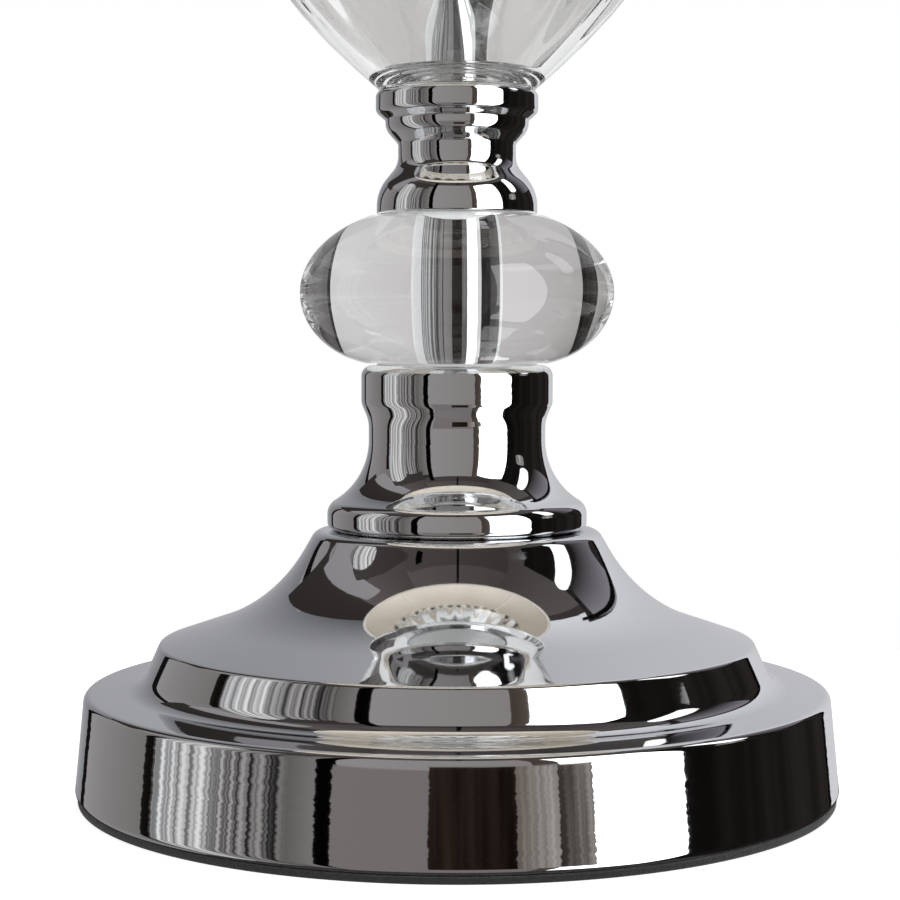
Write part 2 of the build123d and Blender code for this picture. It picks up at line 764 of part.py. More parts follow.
def wire_ring_radius(z):
    """Centre line of a wire ring that lies just inside the fabric at a height."""
    return cover_radius(z) - (COVER_THICK + TIGHT_GAP + WIRE_RADIUS) * shade_slant


def cone_band(low, high, outer_gap, thick):
    """A band of the shade's cone, its inner face a gap outside the fabric's outer face."""
    inner = outer_gap * shade_slant
    outer = (outer_gap + thick) * shade_slant
    return turned([
        (cover_radius(low) + inner, low),
        (cover_radius(low) + outer, low),
        (cover_radius(high) + outer, high),
        (cover_radius(high) + inner, high),
    ])


def shade_cover():
    return cone_band(shade_bottom, shade_top, -COVER_THICK, COVER_THICK)


def shade_trim(low):
    return cone_band(low, low + TRIM_WIDTH, TIGHT_GAP, TRIM_THICK)


def wire_ring(z):
    return Pos(0, 0, z) * Torus(wire_ring_radius(z), WIRE_RADIUS)


def shade_frame():
    # The hub plate and its arms, whose ends are notched round the bottom ring that they are welded to.
    ring_z = shade_bottom + RING_LIFT
    ring_radius = wire_ring_radius(ring_z)
    frame = tube(REDUCER_RADIUS + RUN_GAP, HUB_PLATE_RADIUS, hub_bottom, hub_top)
    arm_start = HUB_PLATE_RADIUS - WIRE_RADIUS
    hub_middle = hub_bottom + HUB_PLATE_THICK / 2
    run = ring_radius - arm_start
    fall = hub_middle - ring_z
    arm_length = math.hypot(run, fall)
    lean = 90 + math.degrees(math.atan2(fall, run))
    for i in range(ARM_COUNT):
        arm = Cylinder(WIRE_RADIUS, arm_length, align=(Align.CENTER, Align.CENTER, Align.MIN))
        placed = Pos(arm_start, 0, hub_middle) * Rot(0, lean, 0) * arm
        frame += Rot(0, 0, 90 + i * 360 / ARM_COUNT) * placed
    return frame - wire_ring(ring_z)


def build():
    shell = base_shell()
    lower_nut_top = weight_seat - STEEL_WASHER_THICK
    return {
        "felt_pad": felt_pad(),
        "base_shell": shell,
        "base_weight": base_weight(),
        "cord_inlet": cord_inlet(shell),
        "rod_washer_lower": steel_washer(lower_nut_top),
        "rod_nut_lower": nut(lower_nut_top - NUT_THICK),
        "threaded_rod": threaded_rod(),
        "spool_collar": spool_collar(),
        "knob_cushion_lower": glass_cushion(KNOB_LOWER_SEAT, spool_top),
        "knob_sleeve": sleeve(spool_top, neck_bottom),
        "glass_knob": glass_knob(),
        "knob_cushion_upper": glass_cushion(KNOB_UPPER_SEAT, knob_top),
        "neck_cup": neck_cup(),
        "body_cushion_lower": glass_cushion(BODY_FOOT_RADIUS, recess_floor),
        "body_sleeve": sleeve(recess_floor, cap_seat),
        "glass_body": glass_body(),
        "body_cushion_upper": body_rim_cushion(),
        "body_cap": body_cap(),
        "rod_washer_upper": steel_washer(cap_top),
        "rod_nut_upper": nut(cap_top + STEEL_WASHER_THICK),
        "top_spool": top_spool(),
        "holder_cap": holder_cap(),
        "holder_grub_screw": grub_screw(),
        "holder_shell": holder_shell(),
        "holder_insert": holder_insert(),
        "side_contact": side_contact_block(0),
        "centre_contact": centre_contact(),
        "terminal_screws": terminal_screws(),
        "bulb_tip": bulb_tip(),
        "bulb_insulator": bulb_insulator(),
        "bulb_cap": bulb_cap(),
        "bulb_glass": bulb_glass(),
        "bulb_stem": bulb_stem(),
        "bulb_filaments": bulb_filaments(),
        "shade_ring_lower": shade_ring(ring_bottom, reducer_bottom - RING_RIM),
        "shade_ring_upper": shade_ring(reducer_top, reducer_top),
        "shade_reducer": shade_reducer(),
        "shade_frame": shade_frame(),
        "shade_bottom_ring": wire_ring(shade_bottom + RING_LIFT),
        "shade_top_ring": wire_ring(shade_top - RING_LIFT),
        "shade_cover": shade_cover(),
        "shade_trim_top": shade_trim(shade_top - TRIM_WIDTH),
        "shade_trim_bottom": shade_trim(shade_bottom),
    }


os.makedirs("parts", exist_ok=True)
for name, solid in build().items():
    export_step(solid, os.path.join("parts", name + ".step"))
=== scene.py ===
import json
import math

import bmesh
import bpy
from bpy.props import FloatProperty, FloatVectorProperty, IntProperty, PointerProperty
from mathutils import Matrix, Vector

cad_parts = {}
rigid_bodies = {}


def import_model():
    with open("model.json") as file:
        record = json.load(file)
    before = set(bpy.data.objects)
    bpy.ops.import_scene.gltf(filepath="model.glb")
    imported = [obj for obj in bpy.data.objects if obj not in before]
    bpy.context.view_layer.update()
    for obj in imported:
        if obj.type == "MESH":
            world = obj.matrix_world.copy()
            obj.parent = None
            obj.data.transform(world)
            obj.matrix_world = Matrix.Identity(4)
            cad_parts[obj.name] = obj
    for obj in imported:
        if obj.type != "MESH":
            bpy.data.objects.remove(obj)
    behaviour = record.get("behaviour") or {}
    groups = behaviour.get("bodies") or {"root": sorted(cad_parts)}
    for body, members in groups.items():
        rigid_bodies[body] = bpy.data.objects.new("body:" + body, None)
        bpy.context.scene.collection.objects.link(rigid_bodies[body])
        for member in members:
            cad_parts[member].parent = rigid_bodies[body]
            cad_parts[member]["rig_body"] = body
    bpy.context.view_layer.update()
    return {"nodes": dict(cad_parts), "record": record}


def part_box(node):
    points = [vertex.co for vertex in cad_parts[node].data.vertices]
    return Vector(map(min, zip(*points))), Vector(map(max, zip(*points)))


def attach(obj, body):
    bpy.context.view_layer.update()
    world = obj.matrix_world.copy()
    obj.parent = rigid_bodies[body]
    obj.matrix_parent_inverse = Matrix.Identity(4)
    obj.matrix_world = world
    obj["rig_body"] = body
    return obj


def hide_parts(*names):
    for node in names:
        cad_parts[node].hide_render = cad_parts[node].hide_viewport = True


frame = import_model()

bl_info = {
    "name": "Chrome and Glass Table Lamp",
    "version": (1, 0, 0),
    "blender": (4, 5, 0),
    "location": "3D View > Sidebar > Lamp",
    "description": "Dresses the table lamp's frame with chrome, glass, felt and fabric",
    "category": "Object",
}

MM = 0.001
WHITE = (1, 1, 1, 1)
AROUND = 256          # steps round a polished piece
ARC_STEP = math.radians(4)
SMALL_ARC_STEP = math.radians(12)

# Sizes in millimetres
SMALL_ARC = 0.75      # radius up to which an arc takes the longer steps
LINE_STEP = 1.5       # longest straight run between points of a polished outline
TUBE_RADIUS = 6.35    # cover tubes of the rod
TUBE_BORE = 5.55
INLET_HOLE = 4.95     # radius of the hole for the cord inlet
BULB_WALL = 1.0
SHADE_STEP = 6.0      # height of a row of faces in the shade's cover
SEAM_RISE = 0.3       # how far the lap of the shade's seam stands out
TAPE_WALL = 0.52
TAPE_EDGE = 0.16      # how far a tape's edges are turned in
TAPE_FOLD = 0.4       # height of a tape's turned edge
TAPE_RIBS = 600       # ribs round the shade, about 1.5 apart at its foot
CARD_LEVEL = 60       # height on which the mirrored cards are centred


def linear(hex_colour):
    """An sRGB hex colour as linear red, green, blue and alpha."""
    parts = [int(hex_colour[i:i + 2], 16) / 255 for i in (1, 3, 5)]
    return (*[c / 12.92 if c <= 0.04045 else ((c + 0.055) / 1.055) ** 2.4 for c in parts], 1.0)


def colour(name, text, hex_colour):
    """A colour property with an sRGB hex default."""
    return FloatVectorProperty(
        name=name, description=text, subtype="COLOR", size=4, min=0, max=1, default=linear(hex_colour)
    )


class LampSizes(bpy.types.PropertyGroup):
    """Sizes that the dressed lamp adds to its frame."""

    shell_wall: FloatProperty(
        name="Shell wall", description="Thickness of the spun base", default=1.2 * MM, unit="LENGTH"
    )
    spinning_pitch: FloatProperty(
        name="Spinning pitch", description="Spacing of the rings that spinning left in the chrome",
        default=0.9 * MM, unit="LENGTH",
    )
    spinning_depth: FloatProperty(
        name="Spinning depth", description="Depth of the rings that spinning left",
        default=0.0016 * MM, unit="LENGTH",
    )
    spinning_sway: FloatProperty(
        name="Spinning sway",
        description="How far the rings turn a reflection aside, as a share of its distance",
        default=0.02, min=0,
    )
    flute_count: IntProperty(
        name="Flutes", description="Soft flutes inside the glass body", default=16, min=0
    )
    flute_depth: FloatProperty(
        name="Flute depth", description="How far the flutes stand into the glass",
        default=0.8 * MM, unit="LENGTH",
    )
    glass_contact: FloatProperty(
        name="Glass contact", description="How far the knob's glass closes on its tube",
        default=0.05 * MM, unit="LENGTH",
    )
    thread_spacing: FloatProperty(
        name="Thread spacing", description="Spacing of the shade's threads", default=0.9 * MM, unit="LENGTH"
    )
    shade_top: FloatProperty(
        name="Shade top", description="Outside radius of the shade's top edge", default=90 * MM, unit="LENGTH"
    )
    cover_thick: FloatProperty(
        name="Cover thickness", description="Thickness of the shade's cloth and lining",
        default=0.8 * MM, unit="LENGTH",
    )
    seam_width: FloatProperty(
        name="Seam width", description="Width of the lap at the back of the shade",
        default=12 * MM, unit="LENGTH",
    )


class LampColours(bpy.types.PropertyGroup):
    """Colours of the dressed lamp."""

    chrome: colour("Chrome", "Colour of the plated metal", "#D9DADC")
    glass: colour("Glass", "Tint of the clear glass", "#FAFBFB")
    felt: colour("Felt", "Colour of the pad", "#141415")
    fabric: colour("Fabric", "Colour of the shade", "#E6DFD0")
    tape: colour("Tape", "Colour of the shade's edge tapes", "#E0D8C6")


def add_node(tree, kind, settings=None, inputs=None):
    """Adds a node, sets its settings, and sets or links its inputs by name or place."""
    node = tree.nodes.new(kind)
    for key, value in (settings or {}).items():
        setattr(node, key, value)
    for key, value in (inputs or {}).items():
        if isinstance(value, bpy.types.NodeSocket):
            tree.links.new(value, node.inputs[key])
        else:
            node.inputs[key].default_value = value
    return node


def new_material(name):
    """An empty material with its output node, or the one that was made before."""
    made = bpy.data.materials.get(name)
    if made:
        return made, None, None
    made = bpy.data.materials.new(name)
    made.use_nodes = True
    made.node_tree.nodes.clear()
    return made, made.node_tree, add_node(made.node_tree, "ShaderNodeOutputMaterial")


def spun_chrome():
    """Chrome plate on spun steel: a mirror whose fine rings ruffle the edges of what it shows."""
    made, tree, output = new_material("Spun chrome plate")
    if tree is None:
        return made
    sizes = bpy.context.scene.lamp_sizes
    place = add_node(tree, "ShaderNodeTexCoord")
    axes = add_node(tree, "ShaderNodeSeparateXYZ", inputs={0: place.outputs["Object"]})
    flat = add_node(tree, "ShaderNodeCombineXYZ", inputs={"X": axes.outputs["X"], "Y": axes.outputs["Y"]})
    radius = add_node(tree, "ShaderNodeVectorMath", {"operation": "LENGTH"}, {0: flat.outputs[0]})
    # The rings drift a little from side to side, so that they are not perfect circles
    drift = add_node(tree, "ShaderNodeMath", {"operation": "MULTIPLY"}, {0: axes.outputs["X"], 1: 0.04})
    along = add_node(
        tree, "ShaderNodeCombineXYZ",
        inputs={"X": radius.outputs["Value"], "Y": axes.outputs["Z"], "Z": drift.outputs[0]},
    )
    rings = add_node(
        tree, "ShaderNodeTexNoise",
        inputs={
            "Vector": along.outputs[0], "Scale": 1 / sizes.spinning_pitch, "Detail": 2.0, "Roughness": 0.55,
        },
    )
    bump = add_node(
        tree, "ShaderNodeBump",
        inputs={"Strength": 1.0, "Distance": sizes.spinning_depth, "Height": rings.outputs[0]},
    )
    # On upright walls the rings also turn the surface a little sideways
    around = add_node(
        tree, "ShaderNodeVectorMath", {"operation": "CROSS_PRODUCT"}, {0: (0, 0, 1), 1: flat.outputs[0]}
    )
    around = add_node(tree, "ShaderNodeVectorMath", {"operation": "NORMALIZE"}, {0: around.outputs[0]})
    sway = add_node(
        tree, "ShaderNodeMath", {"operation": "SUBTRACT"}, {0: rings.outputs[0], 1: 0.5}
    )
    sway = add_node(
        tree, "ShaderNodeMath", {"operation": "MULTIPLY"}, {0: sway.outputs[0], 1: sizes.spinning_sway}
    )
    surface = add_node(tree, "ShaderNodeNewGeometry")
    slope = add_node(tree, "ShaderNodeSeparateXYZ", inputs={0: surface.outputs["Normal"]})
    slope = add_node(tree, "ShaderNodeMath", {"operation": "ABSOLUTE"}, {0: slope.outputs["Z"]})
    upright = add_node(
        tree, "ShaderNodeMapRange",
        inputs={"Value": slope.outputs[0], "From Min": 0.1, "From Max": 0.45, "To Min": 1.0, "To Max": 0.06},
    )
    sway = add_node(
        tree, "ShaderNodeMath", {"operation": "MULTIPLY"}, {0: sway.outputs[0], 1: upright.outputs[0]}
    )
    ruffle = add_node(
        tree, "ShaderNodeVectorMath", {"operation": "SCALE"}, {0: around.outputs[0], "Scale": sway.outputs[0]}
    )
    ruffled = add_node(
        tree, "ShaderNodeVectorMath", {"operation": "ADD"}, {0: bump.outputs[0], 1: ruffle.outputs[0]}
    )
    facing = add_node(tree, "ShaderNodeVectorMath", {"operation": "NORMALIZE"}, {0: ruffled.outputs[0]})
    plate = add_node(
        tree, "ShaderNodeBsdfPrincipled",
        inputs={
            "Base Color": bpy.context.scene.lamp_colours.chrome, "Metallic": 1.0, "Roughness": 0.035,
            "Normal": facing.outputs[0],
        },
    )
    tree.links.new(plate.outputs[0], output.inputs["Surface"])
    return made


def clear_glass():
    """Polished soda-lime glass: clear and bright, dark only where it bends the view far aside."""
    made, tree, output = new_material("Clear soda-lime glass")
    if tree is None:
        return made
    glass = add_node(
        tree, "ShaderNodeBsdfPrincipled",
        inputs={
            "Base Color": bpy.context.scene.lamp_colours.glass, "Roughness": 0.0, "IOR": 1.51,
            "Transmission Weight": 1.0,
        },
    )
    tree.links.new(let_lamps_through(tree, glass), output.inputs["Surface"])
    return made


def let_lamps_through(tree, glass):
    """Lets the lamps' light pass glass to what is inside it."""
    rays = add_node(tree, "ShaderNodeLightPath")
    clear = add_node(tree, "ShaderNodeBsdfTransparent")
    return add_node(
        tree, "ShaderNodeMixShader",
        inputs={0: rays.outputs["Is Shadow Ray"], 1: glass.outputs[0], 2: clear.outputs[0]},
    ).outputs[0]


def plain_material(name, first, second, metallic, roughness, grain_mm, grain_depth_mm):
    """A plain finish that varies between two tones and has a fine grain."""
    made, tree, output = new_material(name)
    if tree is None:
        return made
    place = add_node(tree, "ShaderNodeTexCoord")
    grain = add_node(
        tree, "ShaderNodeTexNoise",
        inputs={"Vector": place.outputs["Object"], "Scale": 1 / (grain_mm * MM), "Detail": 3.0},
    )
    tone = add_node(
        tree, "ShaderNodeMix", {"data_type": "RGBA"},
        {0: grain.outputs[0], 6: linear(first), 7: linear(second)},
    )
    sheen = add_node(
        tree, "ShaderNodeMapRange",
        inputs={"Value": grain.outputs[0], "To Min": roughness * 0.85, "To Max": min(1.0, roughness * 1.15)},
    )
    bump = add_node(
        tree, "ShaderNodeBump",
        inputs={"Strength": 1.0, "Distance": grain_depth_mm * MM, "Height": grain.outputs[0]},
    )
    finish = add_node(
        tree, "ShaderNodeBsdfPrincipled",
        inputs={
            "Base Color": tone.outputs[2], "Metallic": metallic, "Roughness": sheen.outputs[0],
            "Normal": bump.outputs[0],
        },
    )
    tree.links.new(finish.outputs[0], output.inputs["Surface"])
    return made


def draw_outline(bm, corners, step=LINE_STEP):
    """Draws lines and arcs through (radius, height) corners in mm; a third number rounds a corner."""
    points = [Vector((corner[0], 0, corner[1])) * MM for corner in corners]
    last = len(points) - 1
    halves = [0.0] * len(points)
    reaches = [0.0] * len(points)
    for i in range(1, last):
        if len(corners[i]) > 2:
            halves[i] = (points[i - 1] - points[i]).angle(points[i + 1] - points[i]) / 2
            reaches[i] = corners[i][2] * MM / math.tan(halves[i])
    for i in range(last):
        room = (points[i + 1] - points[i]).length
        wanted = reaches[i] + reaches[i + 1]
        if wanted > room:
            reaches[i] *= room / wanted
            reaches[i + 1] *= room / wanted
    pen = bm.verts.new(points[0])
    for i in range(1, last + 1):
        back = (points[i - 1] - points[i]).normalized()
        pen = draw_line(bm, pen, points[i] + back * reaches[i], step)
        if reaches[i] > 0:
            ahead = (points[i + 1] - points[i]).normalized()
            radius = reaches[i] * math.tan(halves[i])
            centre = points[i] + (back + ahead).normalized() * (radius / math.sin(halves[i]))
            turn = math.pi - 2 * halves[i]
            arc_step = ARC_STEP if radius > SMALL_ARC * MM else SMALL_ARC_STEP
            pen = draw_arc(bm, pen, centre, ahead.cross(back), turn, arc_step)


def draw_line(bm, pen, end, step=LINE_STEP):
    """Draws a line from a vertex in short runs and gives its last vertex."""
    start = pen.co.copy()
    length = (end - start).length
    if length < 1e-7:
        return pen
    runs = math.ceil(length / (step * MM))
    for i in range(1, runs + 1):
        pen = bmesh.ops.extrude_vert_indiv(bm, verts=[pen])["verts"][0]
        pen.co = start.lerp(end, i / runs)
    return pen


def draw_arc(bm, pen, centre, axis, turn, arc_step=ARC_STEP):
    """Spins a vertex round a centre and gives the arc's last vertex."""
    drawn = bmesh.ops.spin(
        bm, geom=[pen], cent=centre, axis=axis, angle=turn, steps=max(2, math.ceil(abs(turn) / arc_step))
    )
    return next(item for item in drawn["geom_last"] if isinstance(item, bmesh.types.BMVert))


def spin_round(bm, around=AROUND):
    """Spins an outline once round the lamp's axis and turns its faces outwards."""
    bmesh.ops.spin(
        bm, geom=bm.verts[:] + bm.edges[:], cent=(0, 0, 0), axis=(0, 0, 1), angle=math.tau, steps=around,
        use_merge=True,
    )
    bmesh.ops.remove_doubles(bm, verts=bm.verts, dist=1e-7)
    bmesh.ops.recalc_face_normals(bm, faces=bm.faces)


def cut_thread(bm, crest, low, high, pitch, depth):
    """Cuts a round thread between two heights of a cylinder, all in mm, by moving its skin inwards."""
    for vert in bm.verts:
        height = vert.co.z / MM
        reach = vert.co.xy.length / MM
        if low < height < high and reach > crest - 0.01:
            turn = height / pitch - math.atan2(vert.co.y, vert.co.x) / math.tau
            fade = min(1.0, (height - low) / pitch, (high - height) / pitch)
            inwards = depth * fade * (0.5 - 0.5 * math.cos(math.tau * turn))
            vert.co.xy *= 1 - inwards / reach


def finish_piece(bm, name, material, body, nodes, sharp=30):
    """Makes the object of a piece, which rides on its body and stands for its nodes."""
    mesh = bpy.data.meshes.new(name)
    bm.to_mesh(mesh)
    bm.free()
    mesh.shade_smooth()
    mesh.set_sharp_from_angle(angle=math.radians(sharp))
    mesh.materials.append(material)
    piece = bpy.data.objects.new(name, mesh)
    bpy.context.scene.collection.objects.link(piece)
    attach(piece, body)
    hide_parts(*nodes)
    return piece


def turned_piece(name, node, corners, material, around=AROUND, step=LINE_STEP, thread=None):
    """A turned piece from a closed outline whose heights start at the bottom of its node."""
    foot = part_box(node)[0].z / MM
    lifted = [(corner[0], corner[1] + foot, *corner[2:]) for corner in corners]
    bm = bmesh.new()
    draw_outline(bm, [*lifted, lifted[0][:2]], step)
    spin_round(bm, around)
    if thread:
        crest, low, high, pitch, depth = thread
        cut_thread(bm, crest, low + foot, high + foot, pitch, depth)
    return finish_piece(bm, name, material, frame["nodes"][node]["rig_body"], [node])


class LAMP_OT_chrome_base(bpy.types.Operator):
    """Spins the stepped chrome base, with the hole for its cord inlet"""

    bl_idname = "lamp.chrome_base"
    bl_label = "Chrome base"

    def execute(self, context):
        outline = (
            (76.0, 0), (80.0, 0, 1.5), (77.95, 21.1, 1.6), (66.4, 21.9, 5.0), (62.45, 30.8, 1.2),
            (38.5, 38.95, 34.0), (29.7, 54.3, 2.8), (5.3, 54.3),
        )
        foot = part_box("base_shell")[0].z / MM
        bm = bmesh.new()
        draw_outline(bm, [(r, z + foot, *more) for r, z, *more in outline])
        spin_round(bm)
        bmesh.ops.solidify(bm, geom=bm.faces[:], thickness=context.scene.lamp_sizes.shell_wall)
        base = finish_piece(bm, "chrome_base", spun_chrome(), "stand", ["base_shell"])
        drill_inlet(base)
        return {"FINISHED"}


def drill_inlet(base):
    """Drills the cord inlet's hole through the back of the base."""
    low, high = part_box("cord_inlet")
    bm = bmesh.new()
    bmesh.ops.create_cone(
        bm, cap_ends=True, segments=48, radius1=INLET_HOLE * MM, radius2=INLET_HOLE * MM, depth=20 * MM,
        matrix=Matrix.Translation((0, high.y, (low.z + high.z) / 2)) @ Matrix.Rotation(math.pi / 2, 4, "X"),
    )
    mesh = bpy.data.meshes.new("drill")
    bm.to_mesh(mesh)
    bm.free()
    drill = bpy.data.objects.new("drill", mesh)
    bpy.context.scene.collection.objects.link(drill)
    cut = base.modifiers.new("Inlet hole", "BOOLEAN")
    cut.operation = "DIFFERENCE"
    cut.solver = "EXACT"
    cut.object = drill
    drilled = bpy.data.meshes.new_from_object(base.evaluated_get(bpy.context.evaluated_depsgraph_get()))
    base.modifiers.remove(cut)
    base.data = drilled
    bpy.data.objects.remove(drill)


class LAMP_OT_collars(bpy.types.Operator):
    """Turns the chrome collars below and above the two glasses"""

    bl_idname = "lamp.collars"
    bl_label = "Chrome collars"

    # Outlines as radius, height and rounding of each corner
    spool = (
        (15.95, 0), (27.3, 0, 1.6), (27.3, 5.1, 3.2), (18.55, 10.5, 15.0), (18.55, 22.8, 7.5),
        (20.1, 26.5, 3.5), (20.1, 34.45, 2.2), (5.3, 34.45), (5.3, 31.45), (15.95, 31.45),
    )
    neck = (
        (5.3, 0), (16.8, 0, 0.5), (16.8, 4.85, 9.0), (12.3, 10.3, 4.9), (12.3, 14.6, 1.2),
        (14.95, 17.6, 3.6), (14.95, 19.5, 0.6), (16.95, 21.2, 1.6), (16.95, 25.8, 1.6), (15.25, 25.8),
        (15.25, 24.1), (5.3, 24.1),
    )
    cap = (
        (17.75, 0), (19.65, 0, 0.9), (19.65, 5.6, 0.9), (17.0, 6.6, 0.45), (17.0, 9.6, 0.9),
        (5.3, 9.6), (5.3, 5.6), (17.75, 5.6),
    )
    top = (
        (10.62, 0), (13.8, 0, 0.9), (13.8, 3.2, 0.9), (12.12, 4.1, 0.9), (12.12, 8.3, 0.9),
        (8.4, 12.4, 1.8), (8.4, 14.0, 1.8), (13.2, 17.4, 0.9), (13.2, 20.0, 0.9), (5.3, 20.0),
        (5.3, 8.3), (10.62, 8.3),
    )

    def execute(self, context):
        turned_piece("chrome_spool", "spool_collar", self.spool, spun_chrome())
        turned_piece("chrome_neck_cup", "neck_cup", self.neck, spun_chrome())
        turned_piece("chrome_body_cap", "body_cap", self.cap, spun_chrome())
        turned_piece("chrome_top_spool", "top_spool", self.top, spun_chrome())
        return {"FINISHED"}


class LAMP_OT_tubes(bpy.types.Operator):
    """Draws the chrome tubes that cover the rod inside the two glasses"""

    bl_idname = "lamp.tubes"
    bl_label = "Cover tubes"

    def execute(self, context):
        for node in ("knob_sleeve", "body_sleeve"):
            low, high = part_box(node)
            tall = (high.z - low.z) / MM
            outline = ((TUBE_BORE, 0), (TUBE_RADIUS, 0), (TUBE_RADIUS, tall), (TUBE_BORE, tall))
            turned_piece("chrome_" + node, node, outline, spun_chrome())
        return {"FINISHED"}


class LAMP_OT_glass_knob(bpy.types.Operator):
    """Turns the solid glass knob from two part ellipses and its bore"""

    bl_idname = "lamp.glass_knob"
    bl_label = "Glass knob"

    rise = 14.65 * MM     # of the widest place
    lower = (18.3 * MM, 19.3 * MM)
    upper = (28.3 * MM, 18.6 * MM)

    def execute(self, context):
        low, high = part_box("glass_knob")
        widest = high.x
        equator = low.z + self.rise
        bore = TUBE_RADIUS * MM - context.scene.lamp_sizes.glass_contact
        bm = bmesh.new()
        ends = []
        # Each part ellipse has its bulge, the radius of its flat seat, and its reach up or down
        for bulge, seat, reach in ((*self.lower, -self.rise), (*self.upper, high.z - equator)):
            share = (seat - widest + bulge) / bulge
            squash = abs(reach) / math.sqrt(1 - share**2) / bulge
            pen = bm.verts.new((widest, 0, equator))
            before = set(bm.verts)
            turn = math.acos(share)
            pen = draw_arc(bm, pen, (widest - bulge, 0, equator), (0, -math.copysign(1, reach), 0), turn)
            drawn = [vert for vert in bm.verts if vert not in before]
            bmesh.ops.scale(
                bm, vec=(1, 1, squash), verts=drawn, space=Matrix.Translation((0, 0, -equator))
            )
            ends.append(draw_line(bm, pen, Vector((bore, 0, equator + reach))))
        draw_line(bm, ends[0], ends[1].co.copy())
        spin_round(bm)
        finish_piece(bm, "clear_glass_knob", clear_glass(), "stand", ["glass_knob"])
        return {"FINISHED"}


class LAMP_OT_glass_body(bpy.types.Operator):
    """Blows the clear glass body, with soft flutes inside its wall"""

    bl_idname = "lamp.glass_body"
    bl_label = "Glass body"

    outside = (
        (6.6, 0), (15.0, 0, 0.6), (15.0, 1.3), (16.3, 1.3, 0.6), (62.0, 41.8, 121.0),
        (62.0, 124.0, 30.0), (17.5, 138.2, 5.0), (17.5, 146.1, 0.6),
    )
    inside = (
        (14.1, 146.1, 0.6), (14.1, 135.72, 8.4), (58.6, 121.52, 26.6), (58.6, 43.33, 117.6),
    )
    # The floor inside is rippled, as the glass set on its tool
    floor = (
        (15.9, 5.5, 0.7), (14.8, 6.9, 0.7), (13.7, 5.8, 0.7), (12.6, 7.0, 0.7), (11.5, 5.8, 0.7),
        (10.4, 7.0, 0.7), (9.3, 5.8, 0.7), (8.2, 7.0, 0.6), (7.3, 5.9, 0.4), (6.6, 6.4),
    )
    flute_start = 12 * MM     # height above the foot
    flute_fade = 16 * MM      # height over which the flutes come in
    flute_turn = 0.9          # radians
    floor_reach = 15 * MM     # radius inside which there are no flutes

    def execute(self, context):
        sizes = context.scene.lamp_sizes
        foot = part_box("glass_body")[0].z
        outline = (*self.outside, *self.inside, *self.floor)
        corners = [(r, z + foot / MM, *more) for r, z, *more in outline]
        bm = bmesh.new()
        draw_outline(bm, [*corners, corners[0][:2]])
        spin_round(bm)
        bm.normal_update()
        start = foot + self.flute_start
        for vert in bm.verts:
            reach = vert.co.xy.length
            if vert.normal.xy.dot(vert.co.xy) < 0 and vert.co.z > start and reach > self.floor_reach:
                fade = min(1.0, (vert.co.z - start) / self.flute_fade)
                turn = math.atan2(vert.co.y, vert.co.x)
                swing = math.cos(sizes.flute_count * turn + self.flute_turn)
                vert.co.xy *= 1 + sizes.flute_depth * fade * swing / reach
        finish_piece(bm, "clear_glass_body", clear_glass(), "stand", ["glass_body"])
        return {"FINISHED"}


class LAMP_OT_felt_pad(bpy.types.Operator):
    """Cuts the felt pad under the base"""

    bl_idname = "lamp.felt_pad"
    bl_label = "Felt pad"

    def execute(self, context):
        low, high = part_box("felt_pad")
        wide = high.x / MM
        tall = high.z / MM
        bm = bmesh.new()
        draw_outline(bm, ((0, 0), (wide, 0, 0.6), (wide, tall, 0.3), (0, tall)), 3.0)
        spin_round(bm)
        pad = finish_piece(bm, "felt_base_pad", pressed_felt(), "stand", ["felt_pad"])
        return {"FINISHED"}


class LAMP_OT_bulb(bpy.types.Operator):
    """Blows the candle bulb's glass and rolls the thread of its cap"""

    bl_idname = "lamp.bulb"
    bl_label = "Candle bulb"

    glass = (
        (8.05, 0), (8.05, 6, 7.0), (17.5, 17, 17.5), (17.5, 30, 52.5), (3.5, 74, 3.5), (0, 76.5),
    )
    cap = (
        (6.45, 0), (6.95, 0), (6.95, 14.5), (8.6, 14.5, 0.5), (8.6, 17.5), (8.1, 17.5), (8.1, 15.0),
        (0, 15.0), (0, 14.5), (6.45, 14.5),
    )
    thread = (6.95, 0.4, 14.2, 2.82, 0.45)     # crest, lowest, highest, pitch and depth

    def execute(self, context):
        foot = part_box("bulb_glass")[0].z / MM
        bm = bmesh.new()
        draw_outline(bm, [(r, z + foot, *more) for r, z, *more in self.glass])
        spin_round(bm, 128)
        bmesh.ops.solidify(bm, geom=bm.faces[:], thickness=BULB_WALL * MM)
        finish_piece(bm, "bulb_envelope", blown_glass(), "bulb", ["bulb_glass"])
        turned_piece(
            "bulb_screw_cap", "bulb_cap", self.cap, finish_for("nickel"),
            around=96, step=0.3, thread=self.thread,
        )
        return {"FINISHED"}


class LAMP_OT_holder(bpy.types.Operator):
    """Moulds the lampholder's outer shell with the thread that carries the shade rings"""

    bl_idname = "lamp.holder"
    bl_label = "Lampholder"

    shell = (
        (12.4, 0), (17.0, 0, 0.73), (17.0, 2.2, 0.73), (14.2, 2.2), (14.2, 31.0, 0.8), (11.2, 31.0),
        (11.2, 29.4), (12.4, 29.4),
    )
    thread = (14.2, 3.0, 30.0, 2.5, 0.5)       # crest, lowest, highest, pitch and depth

    def execute(self, context):
        turned_piece(
            "holder_threaded_shell", "holder_shell", self.shell, finish_for("white_plastic"),
            around=128, step=0.3, thread=self.thread,
        )
        return {"FINISHED"}


